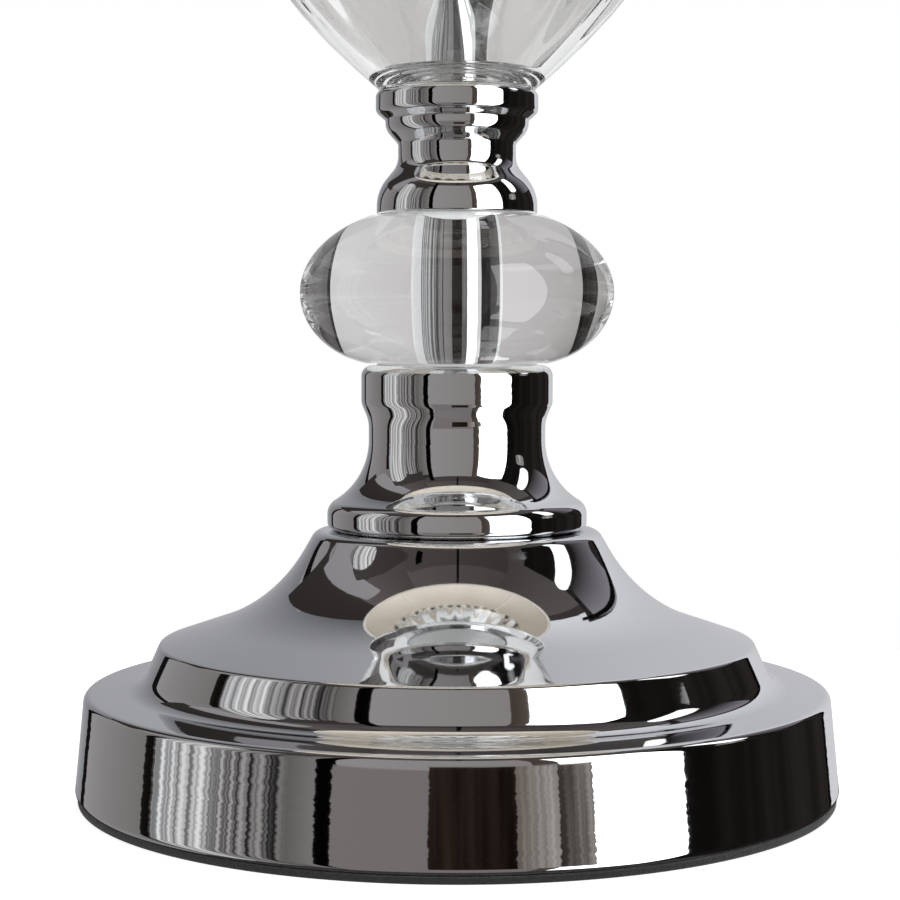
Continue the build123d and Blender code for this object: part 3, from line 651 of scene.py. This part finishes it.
class LAMP_OT_shade(bpy.types.Operator):
    """Rolls the laminated fabric cone of the shade, its back seam and its edge tapes"""

    bl_idname = "lamp.shade"
    bl_label = "Fabric shade"

    def execute(self, context):
        sizes = context.scene.lamp_sizes
        low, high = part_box("shade_cover")
        bottom = high.x
        top = sizes.shade_top
        tall = high.z - low.z
        slant = math.hypot(tall, bottom - top)
        bm = bmesh.new()
        pen = bm.verts.new((bottom, 0, low.z))
        draw_line(bm, pen, Vector((top, 0, high.z)), SHADE_STEP)
        spin_round(bm)
        lay_flat(bm, bottom, slant, (bottom - top) / slant)
        bmesh.ops.solidify(bm, geom=bm.faces[:], thickness=sizes.cover_thick)
        bm.normal_update()
        for face in bm.faces:
            if face.normal.xy.dot(face.calc_center_median().xy) < 0:
                face.material_index = 1
        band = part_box("shade_trim_bottom")[1].z - low.z
        lap = []
        for face in bm.faces:
            spot = face.calc_center_median()
            behind = spot.y > 0 and abs(spot.x) < sizes.seam_width / 2
            if face.material_index == 0 and behind and low.z + band < spot.z < high.z - band:
                lap.append(face)
        raised = bmesh.ops.extrude_face_region(bm, geom=lap)["geom"]
        bmesh.ops.delete(bm, geom=lap, context="FACES_ONLY")
        bmesh.ops.translate(
            bm, vec=(0, SEAM_RISE * MM, 0),
            verts=[item for item in raised if isinstance(item, bmesh.types.BMVert)],
        )
        cover = finish_piece(
            bm, "shade_fabric_cone", slub_fabric(), "shade", ["shade_cover"]
        )
        cover.data.materials.append(shade_lining())
        lean = (bottom - top) / tall
        tapes = [edge_tape(node, lean) for node in ("shade_trim_top", "shade_trim_bottom")]
        return {"FINISHED"}


def edge_tape(node, lean):
    """Folds a ribbed tape along one edge of the shade, leaning in with its side."""
    foot, head = (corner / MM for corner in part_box(node))
    outside = head.x
    inset = outside - lean * (head.z - foot.z)
    outline = (
        (outside - TAPE_WALL, foot.z), (outside - TAPE_EDGE, foot.z), (outside, foot.z + TAPE_FOLD),
        (inset, head.z - TAPE_FOLD), (inset - TAPE_EDGE, head.z), (inset - TAPE_WALL, head.z),
    )
    bm = bmesh.new()
    draw_outline(bm, [*outline, outline[0]], 2.0)
    spin_round(bm)
    return finish_piece(bm, node + "_tape", grosgrain_tape(), "shade", [node], sharp=60)


def lay_flat(bm, bottom, slant, taper):
    """Gives the cone the UVs of its flat cut in metres, so that its threads run straight in the cloth."""
    layer = bm.loops.layers.uv.new("Cut")
    apex = bottom / taper
    low = min(vert.co.z for vert in bm.verts)
    high = max(vert.co.z for vert in bm.verts)
    for face in bm.faces:
        middle = face.calc_center_median()
        facing = math.atan2(middle.x, -middle.y)
        for loop in face.loops:
            spot = loop.vert.co
            turn = math.atan2(spot.x, -spot.y)
            turn += math.tau * round((facing - turn) / math.tau)
            reach = apex - slant * (spot.z - low) / (high - low)
            loop[layer].uv = (reach * math.sin(turn * taper), reach * math.cos(turn * taper))


def pressed_felt():
    """Black wool felt, pressed: dull, with short tangled fibres that catch a little light."""
    made, tree, output = new_material("Pressed wool felt")
    if tree is None:
        return made
    place = add_node(tree, "ShaderNodeTexCoord")
    fibres = add_node(
        tree, "ShaderNodeTexNoise",
        inputs={"Vector": place.outputs["Object"], "Scale": 1 / (0.7 * MM), "Detail": 5.0, "Distortion": 1.2},
    )
    tone = add_node(
        tree, "ShaderNodeMix", {"data_type": "RGBA"},
        {0: fibres.outputs[0], 6: bpy.context.scene.lamp_colours.felt, 7: linear("#323235")},
    )
    bump = add_node(
        tree, "ShaderNodeBump", inputs={"Strength": 1.0, "Distance": 0.3 * MM, "Height": fibres.outputs[0]}
    )
    felt = add_node(
        tree, "ShaderNodeBsdfPrincipled",
        inputs={
            "Base Color": tone.outputs[2], "Roughness": 0.95, "Sheen Weight": 0.25, "Sheen Roughness": 0.6,
            "Normal": bump.outputs[0],
        },
    )
    tree.links.new(felt.outputs[0], output.inputs["Surface"])
    return made


def slub_fabric():
    """Woven slub linen on a clear film: fine crossed threads, some of them thick for a stretch."""
    made, tree, output = new_material("Laminated slub linen")
    if tree is None:
        return made
    colours = bpy.context.scene.lamp_colours
    spacing = bpy.context.scene.lamp_sizes.thread_spacing
    cut = add_node(tree, "ShaderNodeUVMap", {"uv_map": "Cut"})
    # The wave texture has 20 / tau bands a metre at a scale of 1
    thread_scale = math.tau / 20 / spacing
    heights = []
    for direction, stretch in (("X", (1, 0.05, 1)), ("Y", (0.05, 1, 1))):
        threads = add_node(
            tree, "ShaderNodeTexWave", {"wave_type": "BANDS", "bands_direction": direction},
            {"Vector": cut.outputs[0], "Scale": thread_scale, "Distortion": 0.6, "Detail": 1.0},
        )
        stretched = add_node(tree, "ShaderNodeMapping", inputs={"Vector": cut.outputs[0], "Scale": stretch})
        slubs = add_node(
            tree, "ShaderNodeTexNoise",
            inputs={"Vector": stretched.outputs[0], "Scale": 1 / (2 * spacing), "Detail": 2.0},
        )
        height = add_node(
            tree, "ShaderNodeMath", {"operation": "MULTIPLY"}, {0: threads.outputs[1], 1: slubs.outputs[0]}
        )
        heights.append(height)
    weave = add_node(
        tree, "ShaderNodeMath", {"operation": "ADD"}, {0: heights[0].outputs[0], 1: heights[1].outputs[0]}
    )
    # The tone follows the weave's height, darker where it is low: painted shade in the gaps between the
    # threads.
    dark = tuple(part * 0.72 for part in colours.fabric[:3]) + (1.0,)
    tone = add_node(
        tree, "ShaderNodeMix", {"data_type": "RGBA"}, {0: weave.outputs[0], 6: dark, 7: colours.fabric}
    )
    bump = add_node(
        tree, "ShaderNodeBump", inputs={"Strength": 1.0, "Distance": 0.12 * MM, "Height": weave.outputs[0]}
    )
    cloth = add_node(
        tree, "ShaderNodeBsdfPrincipled",
        inputs={
            "Base Color": tone.outputs[2], "Roughness": 0.85, "Sheen Weight": 0.15, "Normal": bump.outputs[0],
        },
    )
    tree.links.new(cloth.outputs[0], output.inputs["Surface"])
    return made


def shade_lining():
    """White styrene film behind the cloth: smooth and slightly glossy, with the weave showing faintly."""
    return plain_material("White styrene lining", "#F8F1E6", "#F0E8DA", 0.0, 0.4, 3.0, 0.03)


def grosgrain_tape():
    """Grosgrain tape folded over the edge: close upright ribs with a soft shine."""
    made, tree, output = new_material("Grosgrain tape")
    if tree is None:
        return made
    colours = bpy.context.scene.lamp_colours
    place = add_node(tree, "ShaderNodeTexCoord")
    axes = add_node(tree, "ShaderNodeSeparateXYZ", inputs={0: place.outputs["Object"]})
    turn = add_node(
        tree, "ShaderNodeMath", {"operation": "ARCTAN2"}, {0: axes.outputs["Y"], 1: axes.outputs["X"]}
    )
    ribs = add_node(tree, "ShaderNodeMath", {"operation": "MULTIPLY"}, {0: turn.outputs[0], 1: TAPE_RIBS})
    ribs = add_node(tree, "ShaderNodeMath", {"operation": "SINE"}, {0: ribs.outputs[0]})
    ribs = add_node(
        tree, "ShaderNodeMapRange", inputs={"Value": ribs.outputs[0], "From Min": -1.0, "From Max": 1.0}
    )
    # The tone follows the ribs, darker in the grooves between them: painted shade between the ribs.
    dark = tuple(part * 0.7 for part in colours.tape[:3]) + (1.0,)
    tone = add_node(
        tree, "ShaderNodeMix", {"data_type": "RGBA"}, {0: ribs.outputs[0], 6: dark, 7: colours.tape}
    )
    bump = add_node(
        tree, "ShaderNodeBump", inputs={"Strength": 0.8, "Distance": 0.15 * MM, "Height": ribs.outputs[0]}
    )
    tape = add_node(
        tree, "ShaderNodeBsdfPrincipled",
        inputs={
            "Base Color": tone.outputs[2], "Roughness": 0.6, "Sheen Weight": 0.2, "Normal": bump.outputs[0],
        },
    )
    tree.links.new(tape.outputs[0], output.inputs["Surface"])
    return made


def blown_glass():
    """Thin blown bulb glass: all but unseen, with a bright line at its edge."""
    made, tree, output = new_material("Thin blown glass")
    if tree is None:
        return made
    glass = add_node(
        tree, "ShaderNodeBsdfPrincipled",
        inputs={"Base Color": linear("#FAFAF8"), "Roughness": 0.0, "IOR": 1.5, "Transmission Weight": 1.0},
    )
    tree.links.new(let_lamps_through(tree, glass), output.inputs["Surface"])
    return made


def soft_washer():
    """Moulded milky vinyl: pale, soft and slightly waxy."""
    made, tree, output = new_material("Moulded milky vinyl")
    if tree is None:
        return made
    place = add_node(tree, "ShaderNodeTexCoord")
    haze = add_node(
        tree, "ShaderNodeTexNoise", inputs={"Vector": place.outputs["Object"], "Scale": 1 / (2 * MM)}
    )
    rough = add_node(
        tree, "ShaderNodeMapRange", inputs={"Value": haze.outputs[0], "To Min": 0.15, "To Max": 0.3}
    )
    vinyl = add_node(
        tree, "ShaderNodeBsdfPrincipled",
        inputs={"Base Color": linear("#F2F3F2"), "Roughness": rough.outputs[0], "IOR": 1.53},
    )
    tree.links.new(vinyl.outputs[0], output.inputs["Surface"])
    return made


# Finishes by slot: name, two tones, metallic, roughness, grain and grain depth in millimetres
FINISHES = {
    # Sand-cast grey iron: dull and pitted from the mould
    "cast_iron": ("Sand-cast grey iron", "#3A3A3C", "#58575A", 0.6, 0.75, 1.4, 0.25),
    # Moulded rubber: dark and matt, with a soft skin
    "black_rubber": ("Moulded black rubber", "#131313", "#1E1E1F", 0.0, 0.7, 0.5, 0.02),
    # Zinc plate: pale bluish metal with a fine crystal mottle
    "zinc_steel": ("Bright zinc plate", "#B9BCC2", "#A3A7AE", 1.0, 0.32, 1.2, 0.01),
    # Moulded thermoplastic: creamy white with a satin skin
    "white_plastic": ("Moulded satin thermoplastic", "#EFEDE7", "#E7E4DC", 0.0, 0.42, 0.8, 0.012),
    # Fired steatite: chalky, faintly speckled
    "steatite": ("Fired steatite", "#E6E1D5", "#D6CFBF", 0.0, 0.6, 0.5, 0.03),
    # Stamped brass: warm metal with light handling stains
    "brass": ("Stamped brass", "#D9B765", "#BF9A4C", 1.0, 0.28, 1.5, 0.008),
    # Solder: dull grey bead with a cooled skin
    "solder": ("Tin solder", "#B4B4B8", "#98989D", 1.0, 0.45, 0.8, 0.04),
    # Black insulating glass: near black and glossy
    "black_glass": ("Black insulating glass", "#08080A", "#111114", 0.0, 0.12, 1.0, 0.005),
    # Nickel on brass: warm silver, rolled smooth
    "nickel": ("Rolled nickel plate", "#CFCBC2", "#BCB7AD", 1.0, 0.25, 1.0, 0.006),
    # Phosphor in silicone: warm yellow, slightly waxy
    "phosphor": ("Yellow phosphor silicone", "#F0C23C", "#E4B02C", 0.0, 0.5, 0.4, 0.03),
    # Powder coat on wire: white with a fine orange-peel texture
    "white_wire": ("White powder coat", "#EEEDE9", "#E4E3DE", 0.0, 0.5, 0.6, 0.05),
}


def finish_for(slot):
    """The finish of a material slot of the record."""
    if slot == "clear_plastic":
        return soft_washer()
    if slot == "bulb_glass":
        return blown_glass()
    return plain_material(*FINISHES[slot])


class LAMP_OT_hardware(bpy.types.Operator):
    """Gives the pieces that stay as they are in the frame their finishes"""

    bl_idname = "lamp.hardware"
    bl_label = "Hardware finishes"

    def execute(self, context):
        for part in frame["record"]["subparts"]:
            node = frame["nodes"][part["node"]]
            if not node.hide_render:
                node.data.materials.clear()
                node.data.materials.append(finish_for(part["material_slot"]))
        return {"FINISHED"}


class LAMP_OT_stage(bpy.types.Operator):
    """Sets the camera, the pale floor, the lamps and the cards that the chrome mirrors"""

    bl_idname = "lamp.stage"
    bl_label = "Stage"

    def execute(self, context):
        make_camera()
        make_floor()
        make_world()
        make_lamps()
        make_cards()
        context.scene.view_settings.view_transform = "Standard"
        context.scene.cycles.max_bounces = 32
        context.scene.cycles.transmission_bounces = 32
        context.scene.cycles.glossy_bounces = 12
        return {"FINISHED"}


def make_camera():
    """The photograph's view: a long lens, a little above the base and tipped down."""
    lens = bpy.data.cameras.new("camera")
    lens.lens = 86.0
    lens.sensor_width = 36.0
    lens.clip_start = 0.01
    camera = bpy.data.objects.new("camera", lens)
    camera.location = (-1.47 * MM, -452.2 * MM, 96.8 * MM)
    camera.rotation_euler = (math.radians(90 - 3.1), 0, 0)
    bpy.context.scene.collection.objects.link(camera)
    bpy.context.scene.camera = camera


def seen_rays(tree):
    """A factor that is 1 for what the camera, polished metal and glass see, and 0 for lighting."""
    rays = add_node(tree, "ShaderNodeLightPath")
    seen = add_node(
        tree, "ShaderNodeMath", {"operation": "MAXIMUM"},
        {0: rays.outputs["Is Camera Ray"], 1: rays.outputs["Is Glossy Ray"]},
    )
    return add_node(
        tree, "ShaderNodeMath", {"operation": "MAXIMUM"},
        {0: seen.outputs[0], 1: rays.outputs["Is Transmission Ray"]},
    ).outputs[0]


def stage_object(name, bm, material):
    """A stage object that is no part of the lamp."""
    mesh = bpy.data.meshes.new(name)
    bm.to_mesh(mesh)
    bm.free()
    mesh.materials.append(material)
    made = bpy.data.objects.new(name, mesh)
    bpy.context.scene.collection.objects.link(made)
    return made


def make_floor():
    """A pale round floor that stays white in view and still takes the lamp's shadow."""
    made, tree, output = new_material("White floor")
    paint = add_node(tree, "ShaderNodeBsdfDiffuse", inputs={"Color": linear("#C0C0C0")})
    glow = add_node(tree, "ShaderNodeEmission", inputs={"Color": WHITE, "Strength": 0.78})
    lit = add_node(tree, "ShaderNodeAddShader", inputs={0: paint.outputs[0], 1: glow.outputs[0]})
    mixed = add_node(
        tree, "ShaderNodeMixShader", inputs={0: seen_rays(tree), 1: paint.outputs[0], 2: lit.outputs[0]}
    )
    tree.links.new(mixed.outputs[0], output.inputs["Surface"])
    bm = bmesh.new()
    bmesh.ops.create_circle(bm, cap_ends=True, segments=128, radius=0.24)
    floor = stage_object("floor", bm, made)
    floor.visible_glossy = False


def make_world():
    """Soft light from all round, with a white backdrop for the camera, metal and glass."""
    world = bpy.data.worlds.new("Soft studio")
    world.use_nodes = True
    tree = world.node_tree
    tree.nodes.clear()
    light = add_node(tree, "ShaderNodeBackground", inputs={"Color": WHITE, "Strength": 0.5})
    white = add_node(tree, "ShaderNodeBackground", inputs={"Color": WHITE, "Strength": 1.0})
    mixed = add_node(
        tree, "ShaderNodeMixShader", inputs={0: seen_rays(tree), 1: light.outputs[0], 2: white.outputs[0]}
    )
    add_node(tree, "ShaderNodeOutputWorld", inputs={"Surface": mixed.outputs[0]})
    bpy.context.scene.world = world


def make_lamps():
    """Soft lamps: two in front, the stronger one to the right, and a low one behind."""
    aim = Vector((0, 0, 0.2))
    for name, place, watts in (
        ("key_lamp", (0.9, -0.9, 0.9), 7.0),
        ("fill_lamp", (-1.0, -0.8, 0.6), 4.0),
        ("back_lamp", (0.08, 0.42, 0.03), 6.0),
    ):
        lamp = bpy.data.lights.new(name, "AREA")
        lamp.energy = watts
        lamp.size = 0.7
        stand = bpy.data.objects.new(name, lamp)
        stand.location = place
        stand.rotation_euler = (aim - Vector(place)).to_track_quat("-Z", "Y").to_euler()
        stand.visible_glossy = False
        stand.visible_transmission = False
        bpy.context.scene.collection.objects.link(stand)


def card_material(name, hex_colours, strength, streaks, seen_by):
    """A glowing card that shades from side to side, streaked or plain, and shows to some rays alone."""
    made, tree, output = new_material(name)
    if tree is None:
        return made
    glow = add_node(
        tree, "ShaderNodeEmission", inputs={"Color": linear(hex_colours[0]), "Strength": strength}
    )
    place = add_node(tree, "ShaderNodeTexCoord")
    if len(hex_colours) > 1:
        axes = add_node(tree, "ShaderNodeSeparateXYZ", inputs={0: place.outputs["UV"]})
        shade = add_node(
            tree, "ShaderNodeMix", {"data_type": "RGBA"},
            {0: axes.outputs["X"], 6: linear(hex_colours[0]), 7: linear(hex_colours[1])},
        )
        tree.links.new(shade.outputs[2], glow.inputs["Color"])
    if streaks:
        count, darkest = streaks
        drawn = add_node(
            tree, "ShaderNodeMapping", inputs={"Vector": place.outputs["UV"], "Scale": (count, 0.6, 1)}
        )
        lines = add_node(
            tree, "ShaderNodeTexNoise", inputs={"Vector": drawn.outputs[0], "Scale": 1.0, "Detail": 3.0}
        )
        light = add_node(
            tree, "ShaderNodeMapRange",
            inputs={
                "Value": lines.outputs[0], "From Min": 0.4, "From Max": 0.62, "To Min": darkest * strength,
                "To Max": strength,
            },
        )
        tree.links.new(light.outputs[0], glow.inputs["Strength"])
    rays = add_node(tree, "ShaderNodeLightPath")
    mirrored = add_node(
        tree, "ShaderNodeMath", {"operation": "GREATER_THAN"}, {0: rays.outputs["Glossy Depth"], 1: 0.5}
    )
    through = add_node(
        tree, "ShaderNodeMath", {"operation": "GREATER_THAN"}, {0: rays.outputs["Transmission Depth"], 1: 0.5}
    )
    operation, first, second = {
        "bare metal": ("GREATER_THAN", mirrored, through),
        "cased metal": ("MULTIPLY", mirrored, through),
        "glass": ("GREATER_THAN", through, mirrored),
    }[seen_by]
    shown = add_node(
        tree, "ShaderNodeMath", {"operation": operation}, {0: first.outputs[0], 1: second.outputs[0]}
    )
    clear = add_node(tree, "ShaderNodeBsdfTransparent")
    mixed = add_node(
        tree, "ShaderNodeMixShader", inputs={0: shown.outputs[0], 1: clear.outputs[0], 2: glow.outputs[0]}
    )
    tree.links.new(mixed.outputs[0], output.inputs["Surface"])
    made.cycles.emission_sampling = "NONE"
    return made


def mirror_only(card):
    """Keeps a card out of the view, the lighting and the shadows."""
    card.visible_camera = False
    card.visible_diffuse = False
    card.visible_shadow = False
    card.visible_volume_scatter = False


def place_card(
    seen_by, name, azimuths, elevations, distance, hex_colours,
    strength=1.0, lean=0.0, streaks=None, rounding=0.0,
):
    """Bends a card round the lamp, by degrees and metres.

    Azimuth 0 is behind the camera and 90 to its right. Lean shifts the card aside for each degree up,
    rounding takes in its corners, and streaks are their number and how dark they are.
    """
    bm = bmesh.new()
    bm.loops.layers.uv.new("Card")
    bmesh.ops.create_grid(bm, x_segments=24, y_segments=24, size=1.0, calc_uvs=True)
    middle = (sum(azimuths) / 2, sum(elevations) / 2)
    for vert in bm.verts:
        across, up = vert.co.xy
        wide = (azimuths[1] - azimuths[0]) / 2 * across * math.sqrt(1 - rounding * up**2 / 2)
        tall = (elevations[1] - elevations[0]) / 2 * up * math.sqrt(1 - rounding * across**2 / 2)
        azimuth = math.radians(middle[0] + wide + lean * tall)
        elevation = math.radians(middle[1] + tall)
        level = distance * math.cos(elevation)
        height = CARD_LEVEL * MM + distance * math.sin(elevation)
        vert.co = (level * math.sin(azimuth), -level * math.cos(azimuth), height)
    material = card_material(name + " card", hex_colours, strength, streaks, seen_by)
    mirror_only(stage_object(name, bm, material))


def make_cards():
    """The studio that chrome and glass show: dim walls, softboxes each side, dark flags and a backdrop."""
    bm = bmesh.new()
    bmesh.ops.create_icosphere(bm, subdivisions=4, radius=6.0)
    walls = card_material("Room walls", ("#403C3A",), 1.0, None, "bare metal")
    mirror_only(stage_object("room", bm, walls))
    # What bare chrome mirrors from behind the lamp, and from its left, front and right
    for card in (
        ("backdrop", (130, 230), (-12, 72), 4.4, ("#F1F1F5", "#67676B")),
        ("edge_left", (-147, -142), (-50, 44), 4.2, ("#141312",), 1.0, 0.26),
        ("flag_left", (-144, -99), (-50, 36), 4.3, ("#A29EA0", "#827E7B"), 1.0, 0.05),
        ("strip_high", (-113, -94), (26, 59), 4.05, ("#9E9A9C", "#A29EA0"), 1.0, 0.7, None, 0.2),
        ("dark_left", (-138, -113), (22, 62), 4.1, ("#34302E", "#3A3634"), 1.0, 0.45),
        ("strip_left", (-103, -98.3), (-50, 24), 4.0, ("#1A1816", "#0A0908")),
        ("window_dim", (-99, -40), (-50, 50), 3.9, ("#4A4644", "#3A3634"), 1.0, 0.0, None, 0.3),
        ("roof_left", (-104, -46), (49, 68), 4.15, ("#6A6462", "#504A48")),
        ("window", (-98, -72), (-50, 43), 3.6, ("#FFFFFF", "#E8E6E4"), 1.2, 0.0, (11, 0.2), 0.35),
        ("window_blind", (-74, -48), (-50, 38), 3.7, ("#E0DCDA", "#7A7674"), 1.0, 0.0, (13, 0.04), 0.2),
        ("window_frame", (-49, -40), (-50, 42), 3.65, ("#6E6A68", "#8A8684")),
        ("post_left", (-40.5, -34.5), (-50, 52), 3.5, ("#030303",)),
        ("front_low", (-31, 19.3), (-50, -7.6), 0.3, ("#867F7E", "#827C7A")),
        ("front_panel", (-35, 22), (-50, 48), 3.9, ("#A29E9E", "#96928F")),
        ("front_strip", (21, 29), (-50, 48), 3.7, ("#4A403A", "#5E544C")),
        ("front_shade", (-48, 50), (47, 55), 3.85, ("#524C4A", "#423C3B")),
        ("front_roof", (-50, 50), (54, 78), 4.1, ("#625C5A", "#504A48")),
        ("roof_seam", (-0.5, 2.0), (49, 68), 3.8, ("#0A0A0A",)),
        ("dark_low", (-6.4, 12.8), (-25.4, -10.8), 0.2, ("#3A2E28", "#241C18"), 1.0, 0.0, (7, 0.4)),
        ("tan_low", (12.8, 22.4), (-25.4, -10.8), 0.2, ("#8A8078", "#BEB8B2"), 1.0, 0.0, (10, 0.6)),
        ("strip_low", (22.4, 30.5), (-25.4, -10.8), 0.2, ("#4A423C", "#A8A29C"), 1.0, 0.0, (6, 0.4)),
        ("softbox_right", (28.5, 67.5), (-50, 47), 3.5, ("#FFFFFF",), 3.5, -0.02, None, 0.2),
        ("flag_right", (67, 142), (-50, 48), 4.2, ("#161412", "#34302E"), 1.0, -0.06, (8, 0.5)),
        ("roof_right", (50, 122), (46, 68), 4.25, ("#4A4644", "#605C5A")),
        ("wall_right", (110, 140), (19, 46), 4.15, ("#302C2A", "#96929A"), 1.0, -0.15, None, 0.3),
        ("edge_right", (140.5, 143.5), (-50, 50), 4.1, ("#0C0B0A",), 1.0, -0.14),
        ("softbox_small", (91, 106), (24, 49), 3.6, ("#FFFFFF",), 2.0, 0.2, None, 0.6),
        ("softbox_low", (82, 95), (11, 22), 3.7, ("#D8D6D4",), 0.8, 0.2, (3, 0.4), 0.5),
    ):
        place_card("bare metal", *card)
    # What the chrome tubes mirror inside the glass
    for card in (
        ("cased_window", (-112, -38), (-50, 50), 2.6, ("#FFFFFF", "#8E8A88"), 1.2, 0.0, (20, 0.1)),
        ("cased_front", (-38, 30), (-50, 50), 2.7, ("#A09C9A", "#6A6462")),
        ("cased_dark", (-14, 14), (-50, 50), 2.5, ("#3A322E", "#2A2420"), 1.0, 0.0, (6, 0.4)),
        ("cased_softbox", (29, 58), (-50, 50), 2.4, ("#FFFFFF",), 3.0),
        ("cased_flag", (70, 100), (-50, 50), 2.6, ("#3A3836", "#24221F"), 1.0, 0.0, (6, 0.5)),
        ("cased_wall", (99, 150), (-50, 50), 2.7, ("#5E5A58", "#8A8684"), 1.0, 0.0, (8, 0.5)),
    ):
        place_card("cased metal", *card)
    # What shows through the glass
    for card in (
        ("pale_behind", (141, 218), (-50, 55), 1.7, ("#DCDADA", "#B2AEAE")),
        ("line_right", (138.8, 141.2), (-50, 55), 1.7, ("#1C1A18",)),
        ("pale_right", (85, 139), (-50, 55), 1.7, ("#8E8C8A", "#727070"), 1.0, 0.0, (4, 0.7)),
        ("crescent_left", (-142.4, -130), (-50, 55), 1.7, ("#24221F", "#4A4846"), 1.0, 0.0, (5, 0.5)),
        ("pale_left", (-130.2, -80), (-50, 55), 1.7, ("#C8C6C4", "#DEDCDA"), 1.0, 0.0, (4, 0.75)),
    ):
        place_card("glass", *card)


class LAMP_PT_panel(bpy.types.Panel):
    """Lists the lamp's sizes, colours and pieces"""

    bl_label = "Table lamp"
    bl_idname = "LAMP_PT_panel"
    bl_space_type = "VIEW_3D"
    bl_region_type = "UI"
    bl_category = "Lamp"

    def draw(self, context):
        for group in (context.scene.lamp_sizes, context.scene.lamp_colours):
            for name in group.__annotations__:
                self.layout.prop(group, name)
        for operator in OPERATORS:
            self.layout.operator(operator.bl_idname)


GROUPS = (LampSizes, LampColours)
OPERATORS = (
    LAMP_OT_chrome_base,
    LAMP_OT_collars,
    LAMP_OT_tubes,
    LAMP_OT_glass_knob,
    LAMP_OT_glass_body,
    LAMP_OT_felt_pad,
    LAMP_OT_bulb,
    LAMP_OT_holder,
    LAMP_OT_shade,
    LAMP_OT_hardware,
    LAMP_OT_stage,
)


def register():
    for made in (*GROUPS, *OPERATORS, LAMP_PT_panel):
        bpy.utils.register_class(made)
    bpy.types.Scene.lamp_sizes = PointerProperty(type=LampSizes)
    bpy.types.Scene.lamp_colours = PointerProperty(type=LampColours)


def unregister():
    del bpy.types.Scene.lamp_colours
    del bpy.types.Scene.lamp_sizes
    for made in reversed((*GROUPS, *OPERATORS, LAMP_PT_panel)):
        bpy.utils.unregister_class(made)


def main():
    register()
    bpy.ops.lamp.chrome_base()
    bpy.ops.lamp.collars()
    bpy.ops.lamp.tubes()
    bpy.ops.lamp.glass_knob()
    bpy.ops.lamp.glass_body()
    bpy.ops.lamp.felt_pad()
    bpy.ops.lamp.bulb()
    bpy.ops.lamp.holder()
    bpy.ops.lamp.shade()
    bpy.ops.lamp.hardware()
    bpy.ops.lamp.stage()


if __name__ == "__main__":
    main()
